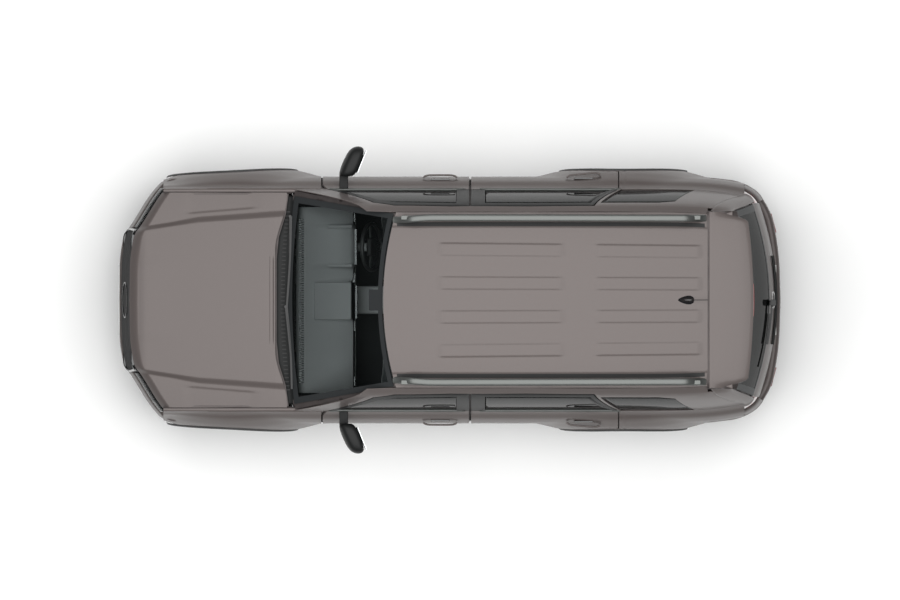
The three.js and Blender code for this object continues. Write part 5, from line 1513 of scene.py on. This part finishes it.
def cushion(kind, size, crown_height, swell):
    """A stuffed block swollen by cloth simulation: its corners pull in while its faces crown. Returns the
    points, about its own middle, and its faces. Without the simulation it is only the rounded block."""
    if kind in CUSHIONS:
        return CUSHIONS[kind]
    half = np.array(size) / 2 - crown_height * 0.5
    grid = rounded_box(-half, half, min(half) * 0.75, 5)
    mesh = bpy.data.meshes.new(kind)
    shape = solid_of(grid)
    mesh.from_pydata(np.concatenate(shape.points).tolist(), [], shape.faces)
    block = bpy.data.objects.new(kind, mesh)
    bpy.context.scene.collection.objects.link(block)
    bpy.context.view_layer.objects.active = block
    fine = 0.0085
    remesh = add_modifier(block, "REMESH", mode="VOXEL", voxel_size=fine)
    bpy.context.view_layer.update()
    bpy.ops.object.modifier_apply(modifier=remesh.name)
    rest = np.empty(len(block.data.vertices) * 3)
    block.data.vertices.foreach_get("co", rest)
    cloth = block.modifiers.new("Cloth", "CLOTH")
    cloth.settings.use_pressure = True
    cloth.settings.uniform_pressure_force = 4.0
    cloth.settings.effector_weights.gravity = 0.0
    for step in range(1, 21):
        bpy.context.scene.frame_set(step)
    bpy.ops.object.modifier_apply(modifier=cloth.name)
    bpy.context.scene.frame_set(1)
    spots = np.empty(len(rest))
    block.data.vertices.foreach_get("co", spots)
    move = (spots - rest).reshape(-1, 3)
    far = np.linalg.norm(move, axis=1, keepdims=True)
    move *= np.minimum(1, swell / np.maximum(far, 1e-9))
    points = rest.reshape(-1, 3) + move
    points *= np.array(size) / (points.max(0) - points.min(0))
    points -= (points.max(0) + points.min(0)) / 2
    faces = [list(face.vertices) for face in block.data.polygons]
    bpy.data.objects.remove(block)
    CUSHIONS[kind] = (points, faces)
    return CUSHIONS[kind]


def place_cushion(name, kind, size, crown_height, centre, lean, target, channels, swell):
    """Sets a cushion in the car: stretched to target size and leaned about Y by lean radians, with sewn
    channels pressed in across it."""
    points, faces = cushion(kind, size, crown_height, swell)
    spots = points * (np.array(target) / np.array(size))
    for axis, value, depth in channels:
        near = np.exp(-((spots[:, axis] - value) / 0.007) ** 2)
        face_up = np.abs(spots[:, 2]) / (target[2] / 2)
        spots[:, 2] -= np.sign(spots[:, 2]) * depth * near * face_up
    c, s = math.cos(lean), math.sin(lean)
    turned_spots = np.stack([spots[:, 0] * c + spots[:, 2] * s, spots[:, 1],
                             -spots[:, 0] * s + spots[:, 2] * c], 1) + centre
    shape = Shape()
    shape.points, shape.faces, shape.count = [turned_spots], [list(face) for face in faces], len(spots)
    piece = make_piece(name, shape, MAT["cloth"], "car_body", "seat_cloth", sharp=180)


def make_seats(sizes):
    """Front seats, second row bench and third row: cushion, back and head rest for each place, over a
    moulded base that stands for the frame's solid."""
    rows = (
        ("left_front", 0.23, 0.393, 0.5, 0.56, 0.86), ("right_front", 0.23, -0.393, 0.5, 0.56, 0.86),
        ("second_left", -0.59, 0.425, 0.42, 0.56, 0.86), ("second_middle", -0.59, 0.0, 0.41, 0.56, 0.86),
        ("second_right", -0.59, -0.425, 0.42, 0.56, 0.86), ("third_left", -1.38, 0.25, 0.48, 0.72, 0.7),
        ("third_right", -1.38, -0.25, 0.48, 0.72, 0.7),
    )
    owners = {"left_front": "left_front_seat", "right_front": "right_front_seat",
              "second_middle": "second_row_seat", "third_left": "third_row_seat"}
    for name, x, y, width, base, back in rows:
        low = base + 0.2
        channels = [(1, -width * 0.27, 0.012), (1, width * 0.27, 0.012), (0, -0.02, 0.008),
                    (0, 0.11, 0.008)]
        place_cushion(f"{name}_cushion", "base", (0.5, 0.5, 0.16), 0.04, (x + 0.03, y, low), -0.06,
                      (0.5, width, 0.16), channels, sizes.seat_swell)
        length = back - 0.2
        channels = [(1, -width * 0.27, 0.012), (1, width * 0.27, 0.012), (0, -0.12, 0.008),
                    (0, 0.0, 0.008), (0, 0.12, 0.008)]
        middle = (x - 0.32, y, base + 0.22 + length / 2)
        place_cushion(f"{name}_back", "back", (0.62, 0.5, 0.12), 0.035, middle, math.pi / 2 - 0.25,
                      (length, width * 0.97, 0.13), channels, sizes.seat_swell)
        top = (x - 0.41, y, base + back - 0.03)
        place_cushion(f"{name}_head_rest", "head", (0.2, 0.26, 0.1), 0.02, top, math.pi / 2 - 0.2,
                      (0.17, 0.25, 0.1), (), sizes.seat_swell)
        shell = Shape()
        shell.tube(rounded_box([x - 0.22, y - width / 2 + 0.04, base + 0.003],
                               [x + 0.22, y + width / 2 - 0.04, base + 0.14], 0.03))
        for post in (-0.06, 0.06):
            bar = between([x - 0.39, y + post, base + back - 0.2],
                          [x - 0.41, y + post, base + back - 0.03], 6)
            shell.tube(sweep(bar, circle_section(0.006, 10), up=(0, 1, 0)))
        make_piece(f"{name}_seat_base", shell, MAT["trim"], "car_body", "seat_cloth",
                   [owners[name]] if name in owners else [])
        if "middle" in name:
            continue
        sign = 1 if y > 0 else -1
        outer = y + sign * (width / 2 + 0.03)
        belt = rounded([[x - 0.5, outer + sign * 0.03, base + back - 0.02],
                        [x - 0.42, outer, base + back - 0.25], [x - 0.3, outer + sign * 0.005, base + 0.3],
                        [x - 0.26, outer + sign * 0.01, base + 0.1]], 0.08, 6)
        strap = sweep(belt, box_section(0.046, 0.0016, 0.0004), up=(0, 1, 0))
        make_piece(f"{name}_belt", solid_of(strap), MAT["webbing"], "car_body",
                   "seat_cloth")


def make_cabin_trim():
    """Carpet and door cards."""
    x = np.linspace(TAIL + 0.29, FRONT_AXLE - 0.47, 120)
    half = plan_half(x) - 0.136
    well = np.abs(x - REAR_AXLE) < ARCH_RADIUS + 0.012
    half = np.where(well, 0.597, half)
    z = 0.562 + 0.16 * (1 - ramp(x, REAR_AXLE + 0.37, REAR_AXLE + 0.44))
    v = np.linspace(-1, 1, 30)[None, :]
    grid = np.stack([np.broadcast_to(x[:, None], (120, 30)), v * half[:, None],
                     np.broadcast_to(z[:, None] + 0.004, (120, 30))], -1)
    make_piece("carpet", Shape().grid(grid), MAT["carpet"], "car_body", "floor_steel", solid=0.003,
               away=(0, 0, 0))
    for end, x0, x1 in (("front", DOOR_SPLIT + 0.06, DOOR_FRONT - 0.07),
                        ("rear", DOOR_REAR + 0.34, REAR_DOOR_FRONT - 0.06)):
        xs = np.broadcast_to(np.linspace(x0, x1, 40)[:, None], (40, 24))
        low = over_arch(REAR_AXLE, ARCH_RADIUS + 0.13, xs, 0.56)
        zs = low + (BELT - 0.01 - low) * np.linspace(0, 1, 24)
        grid = on_side(np.stack([xs, zs], -1), 0.129)
        grid[..., 1] -= 0.028 * np.exp(-((zs - 0.9) / 0.035) ** 2) * ramp(xs, x0 + 0.06,
            x0 + 0.12) * (1 - ramp(xs, x1 - 0.12, x1 - 0.06))
        pair("{side}_" + end + "_door_card", [grid], MAT["soft_trim"], "{side}_" + end + "_door_body",
             "cabin_plastic", solid=0.004, away=(0.2, 2.0, 0.8))


# ---------------------------------------------------------------- underside and engine bay
def make_underside():
    """Finishes for the frame's own running gear, with springs, dampers, trailing arms, bay covers and the
    spare wheel added."""
    finishes = {
        "ladder_frame": "chassis", "floor_pan": "floor", "bulkhead": "floor", "engine_block": "cast",
        "gearbox": "cast",
        "front_suspension": "chassis", "rear_axle": "chassis", "propeller_shaft": "chassis",
        "exhaust": "pipe",
        "fuel_tank": "liner", "left_steering_knuckle": "cast", "right_steering_knuckle": "cast",
    }
    for node, finish in finishes.items():
        mesh = frame["nodes"][node].data
        mesh.materials.clear()
        mesh.materials.append(MAT[finish])
    turn = np.linspace(0, 2 * np.pi * 6, 150)
    for side, sign in sides():
        for end, x, y, low, high, radius in (("front", FRONT_AXLE, 0.47, 0.31, 0.58, 0.055),
                                             ("rear", REAR_AXLE + 0.02, 0.5, 0.45, 0.66, 0.06)):
            path = np.stack([x + radius * np.cos(turn), sign * y + radius * np.sin(turn),
                             low + (high - low) * turn / turn[-1]], 1)
            make_piece(f"{side}_{end}_spring", solid_of(sweep(path, circle_section(0.007, 8))),
                       MAT["chassis"], "car_body", "underbody_paint")
            body = turned_up([[0.001, low], [0.026, low], [0.026, (low + high) / 2],
                              [0.014, (low + high) / 2 + 0.002], [0.014, high], [0.001, high]],
                             (x, sign * y, 0.0), 20)
            make_piece(f"{side}_{end}_damper", Shape().lathed(body), MAT["pipe"], "car_body",
                       "underbody_paint")
        fore = rounded_box([REAR_AXLE + 0.05, sign * 0.39 - 0.02, 0.38],
                           [REAR_AXLE + 0.75, sign * 0.39 + 0.02, 0.43], 0.008)
        make_piece(f"{side}_trailing_arm", solid_of(fore), MAT["chassis"], "car_body",
                   "underbody_paint")
    cover = solid_of(rounded_box([FRONT_AXLE - 0.28, -0.22, 1.032], [FRONT_AXLE + 0.28, 0.22, 1.062],
                                 0.012))
    cover.tube(rounded_box([FRONT_AXLE - 0.22, 0.38, 0.78], [FRONT_AXLE + 0.04, 0.56, 0.98], 0.012))
    cover.tube(rounded_box([FRONT_AXLE + 0.1, -0.6, 0.82], [FRONT_AXLE + 0.38, -0.36, 0.98], 0.02))
    cover.tube(rounded_box([NOSE - 0.3, -0.4, 0.6], [NOSE - 0.25, 0.4, 0.98], 0.012))
    make_piece("engine_bay_covers", cover, MAT["liner"], "car_body", "black_plastic")
    centre = (REAR_AXLE - 0.545, 0.0, 0.41)
    section = np.array([[0.17, -0.04], [0.2, -0.088], [0.3, -0.088], [0.345, -0.075], [0.362, -0.06],
                        [0.369, -0.04], [0.369, 0.04],
                        [0.362, 0.06], [0.345, 0.078], [0.3, 0.088], [0.2, 0.088], [0.17, 0.02]])
    make_piece("spare_tyre", Shape().ring(turned_up(section, centre, 96)), MAT["tyre"],
               "car_body", "tyre_rubber", ["spare_wheel"])
    disc = turned_up([[0.001, -0.03], [0.09, -0.03], [0.12, -0.01], [0.171, -0.01], [0.171, 0.012],
                      [0.001, 0.012]], centre, 64)
    make_piece("spare_disc", Shape().lathed(disc), MAT["chassis"], "car_body", "tyre_rubber")


# ---------------------------------------------------------------- stage
def make_stage(stage):
    """A pale floor, soft daylight from above, and a level camera straight overhead."""
    scene = bpy.context.scene
    mesh = bpy.data.meshes.new("studio_floor")
    mesh.from_pydata([(-40, -40, 0), (40, -40, 0), (40, 40, 0), (-40, 40, 0)], [], [(0, 1, 2, 3)])
    floor = bpy.data.objects.new("studio_floor", mesh)
    scene.collection.objects.link(floor)
    mesh.materials.append(surface("matt_painted_floor", stage.floor, 0.9, mottle=(0.5, 0.01)))
    world = bpy.data.worlds.new("studio")
    world.use_nodes = True
    tree = world.node_tree
    background = tree.nodes["Background"]
    background.inputs["Color"].default_value = (0.94, 0.97, 1.0, 1.0)
    seen = add_node(tree, "ShaderNodeLightPath").outputs["Is Camera Ray"]
    strength = add_node(tree, "ShaderNodeMapRange", [(seen, "Value")])
    strength.inputs["To Min"].default_value = stage.sky
    strength.inputs["To Max"].default_value = 0.95
    tree.links.new(strength.outputs["Result"], background.inputs["Strength"])
    scene.world = world
    light = bpy.data.lights.new("overhead_softbox", "AREA")
    light.shape, light.size, light.energy = "SQUARE", stage.softbox_size, stage.softbox_power
    lamp = bpy.data.objects.new("overhead_softbox", light)
    lamp.location = (0.0, 0.0, 8.0)
    scene.collection.objects.link(lamp)
    lens = bpy.data.cameras.new("overhead_camera")
    lens.type, lens.ortho_scale = "ORTHO", stage.view_width
    camera = bpy.data.objects.new("overhead_camera", lens)
    camera.location = (0.0, 0.0, 12.0)
    camera.rotation_euler = (0, 0, math.pi)
    scene.collection.objects.link(camera)
    scene.camera = camera
    scene.view_settings.view_transform = "Standard"


# ---------------------------------------------------------------- settings
def length(name, description, default):
    """A length in metres for the settings."""
    return bpy.props.FloatProperty(name=name, description=description, default=default, min=0.0,
                                   unit="LENGTH")


def colour(name, description, code):
    """A colour for the settings, from its sRGB code."""
    return bpy.props.FloatVectorProperty(
        name=name, description=description, default=linear(code), size=4, min=0.0, max=1.0, subtype="COLOR")


class CarSizes(bpy.types.PropertyGroup):
    """Sizes of the details that don't come from the frame."""

    bead_height: length("Roof beads", "How far the pressed beads stand up from the roof", 0.008)
    rail_width: length("Roof rails", "Width of the roof rails' oval bar", 0.052)
    tread_depth: length("Tread depth", "Depth of the grooves in the tyres", 0.009)
    seat_swell: length("Seat swell", "How far a seat's cloth may move when it is stuffed", 0.026)


class CarColours(bpy.types.PropertyGroup):
    """Colours of the main finishes."""

    paint: colour("Paint", "Basecoat of the body", "#5b5452")
    trim: colour("Trim", "Grained plastic of the bumpers, sills and arches", "#333333")
    cabin: colour("Cabin", "Moulded skin of the dashboard and door cards", "#8b8b8b")
    cloth: colour("Seat cloth", "Woven cover of the seats", "#3a3c3d")


class CarStage(bpy.types.PropertyGroup):
    """The floor, the light and the camera."""

    floor: colour("Floor", "Matt paint of the studio floor", "#f4f4f3")
    softbox_size: length("Softbox", "Side of the square light overhead", 12.0)
    softbox_power: bpy.props.FloatProperty(
        name="Softbox power", description="Power of the light overhead", default=1500.0, min=0.0,
        unit="POWER")
    sky: bpy.props.FloatProperty(
        name="Sky", description="Strength of the light from all round", default=0.16, min=0.0)
    view_width: length("View width", "Width of the picture on the ground", 6.68)


# ---------------------------------------------------------------- operators
class AddFinishes(bpy.types.Operator):
    """Makes the materials of every piece, before anything else"""

    bl_idname = "estate_car.finishes"
    bl_label = "Finishes"

    def execute(self, context):
        make_materials(context.scene.car_colours)
        return {"FINISHED"}


class AddBonnet(bpy.types.Operator):
    """Adds the bonnet's skin and frame"""

    bl_idname = "estate_car.bonnet"
    bl_label = "Bonnet"

    def execute(self, context):
        make_bonnet()
        return {"FINISHED"}


class AddWings(bpy.types.Operator):
    """Adds both front wings"""

    bl_idname = "estate_car.wings"
    bl_label = "Front wings"

    def execute(self, context):
        make_wings()
        return {"FINISHED"}


class AddDoors(bpy.types.Operator):
    """Adds the four doors with their glass, handles and mouldings"""

    bl_idname = "estate_car.doors"
    bl_label = "Doors"

    def execute(self, context):
        make_doors()
        return {"FINISHED"}


class AddSideFrames(bpy.types.Operator):
    """Adds sills, pillars, cant rails and rear quarters"""

    bl_idname = "estate_car.side_frames"
    bl_label = "Side frames"

    def execute(self, context):
        make_side_frames()
        return {"FINISHED"}


class AddArchTrims(bpy.types.Operator):
    """Adds the trims and liners of the wheel arches"""

    bl_idname = "estate_car.arch_trims"
    bl_label = "Arch trims"

    def execute(self, context):
        make_arch_trims()
        return {"FINISHED"}


class AddRoof(bpy.types.Operator):
    """Adds the roof and its aerial"""

    bl_idname = "estate_car.roof"
    bl_label = "Roof"

    def execute(self, context):
        make_roof(context.scene.car_sizes)
        return {"FINISHED"}


class AddRails(bpy.types.Operator):
    """Adds both roof rails"""

    bl_idname = "estate_car.rails"
    bl_label = "Roof rails"

    def execute(self, context):
        make_rails(context.scene.car_sizes)
        return {"FINISHED"}


class AddScreen(bpy.types.Operator):
    """Adds the windscreen, cowl and wipers"""

    bl_idname = "estate_car.screen"
    bl_label = "Windscreen"

    def execute(self, context):
        make_screen()
        return {"FINISHED"}


class AddTailgate(bpy.types.Operator):
    """Adds the tailgate with its glass, spoiler and wiper"""

    bl_idname = "estate_car.tailgate"
    bl_label = "Tailgate"

    def execute(self, context):
        make_tailgate()
        return {"FINISHED"}


class AddRearBumper(bpy.types.Operator):
    """Adds the rear bumper, the tail lamps and the corner pillars"""

    bl_idname = "estate_car.rear_bumper"
    bl_label = "Rear bumper"

    def execute(self, context):
        make_rear_bumper()
        return {"FINISHED"}


class AddNose(bpy.types.Operator):
    """Adds the front bumper, grille and headlamps"""

    bl_idname = "estate_car.nose"
    bl_label = "Nose"

    def execute(self, context):
        make_nose()
        return {"FINISHED"}


class AddMirrors(bpy.types.Operator):
    """Adds both door mirrors"""

    bl_idname = "estate_car.mirrors"
    bl_label = "Mirrors"

    def execute(self, context):
        make_mirrors()
        return {"FINISHED"}


class AddWheels(bpy.types.Operator):
    """Adds the four wheels with their tyres and brake discs"""

    bl_idname = "estate_car.wheels"
    bl_label = "Wheels"

    def execute(self, context):
        make_wheels(context.scene.car_sizes)
        return {"FINISHED"}


class AddDashboard(bpy.types.Operator):
    """Adds the dashboard, console and steering wheel"""

    bl_idname = "estate_car.dashboard"
    bl_label = "Dashboard"

    def execute(self, context):
        make_dashboard()
        return {"FINISHED"}


class AddSeats(bpy.types.Operator):
    """Adds the seats, stuffed by cloth simulation, and their belts"""

    bl_idname = "estate_car.seats"
    bl_label = "Seats"

    def execute(self, context):
        make_seats(context.scene.car_sizes)
        return {"FINISHED"}


class AddCabinTrim(bpy.types.Operator):
    """Adds the carpet and the door cards"""

    bl_idname = "estate_car.cabin_trim"
    bl_label = "Cabin trim"

    def execute(self, context):
        make_cabin_trim()
        return {"FINISHED"}


class AddUnderside(bpy.types.Operator):
    """Finishes the running gear and adds springs, covers and the spare wheel"""

    bl_idname = "estate_car.underside"
    bl_label = "Underside"

    def execute(self, context):
        make_underside()
        return {"FINISHED"}


class AddStage(bpy.types.Operator):
    """Sets up the floor, the light and the camera"""

    bl_idname = "estate_car.stage"
    bl_label = "Stage"

    def execute(self, context):
        make_stage(context.scene.car_stage)
        return {"FINISHED"}


OPERATORS = (
    AddFinishes, AddBonnet, AddWings, AddDoors, AddSideFrames, AddArchTrims, AddRoof, AddRails, AddScreen,
    AddTailgate, AddRearBumper, AddNose, AddMirrors, AddWheels, AddDashboard, AddSeats, AddCabinTrim,
    AddUnderside, AddStage,
)


class CarPanel(bpy.types.Panel):
    """Lists the settings and the pieces in the order in which they are made."""

    bl_idname = "VIEW3D_PT_estate_car"
    bl_label = "Off-road estate car"
    bl_space_type = "VIEW_3D"
    bl_region_type = "UI"
    bl_category = "Estate car"

    def draw(self, context):
        for group in (context.scene.car_sizes, context.scene.car_colours, context.scene.car_stage):
            for key in type(group).__annotations__:
                self.layout.prop(group, key)
        for operator in OPERATORS:
            self.layout.operator(operator.bl_idname)


GROUPS = {"car_sizes": CarSizes, "car_colours": CarColours, "car_stage": CarStage}


def register():
    """Registers the settings, the operators and the panel."""
    for item in (*GROUPS.values(), *OPERATORS, CarPanel):
        bpy.utils.register_class(item)
    for key, group in GROUPS.items():
        setattr(bpy.types.Scene, key, bpy.props.PointerProperty(type=group))


def unregister():
    """Takes away all that register added."""
    for key in GROUPS:
        delattr(bpy.types.Scene, key)
    for item in (CarPanel, *OPERATORS[::-1], *GROUPS.values()):
        bpy.utils.unregister_class(item)


def main():
    """Makes every piece in order."""
    register()
    for operator in OPERATORS:
        getattr(bpy.ops.estate_car, operator.bl_idname.split(".")[1])()


if __name__ == "__main__":
    main()
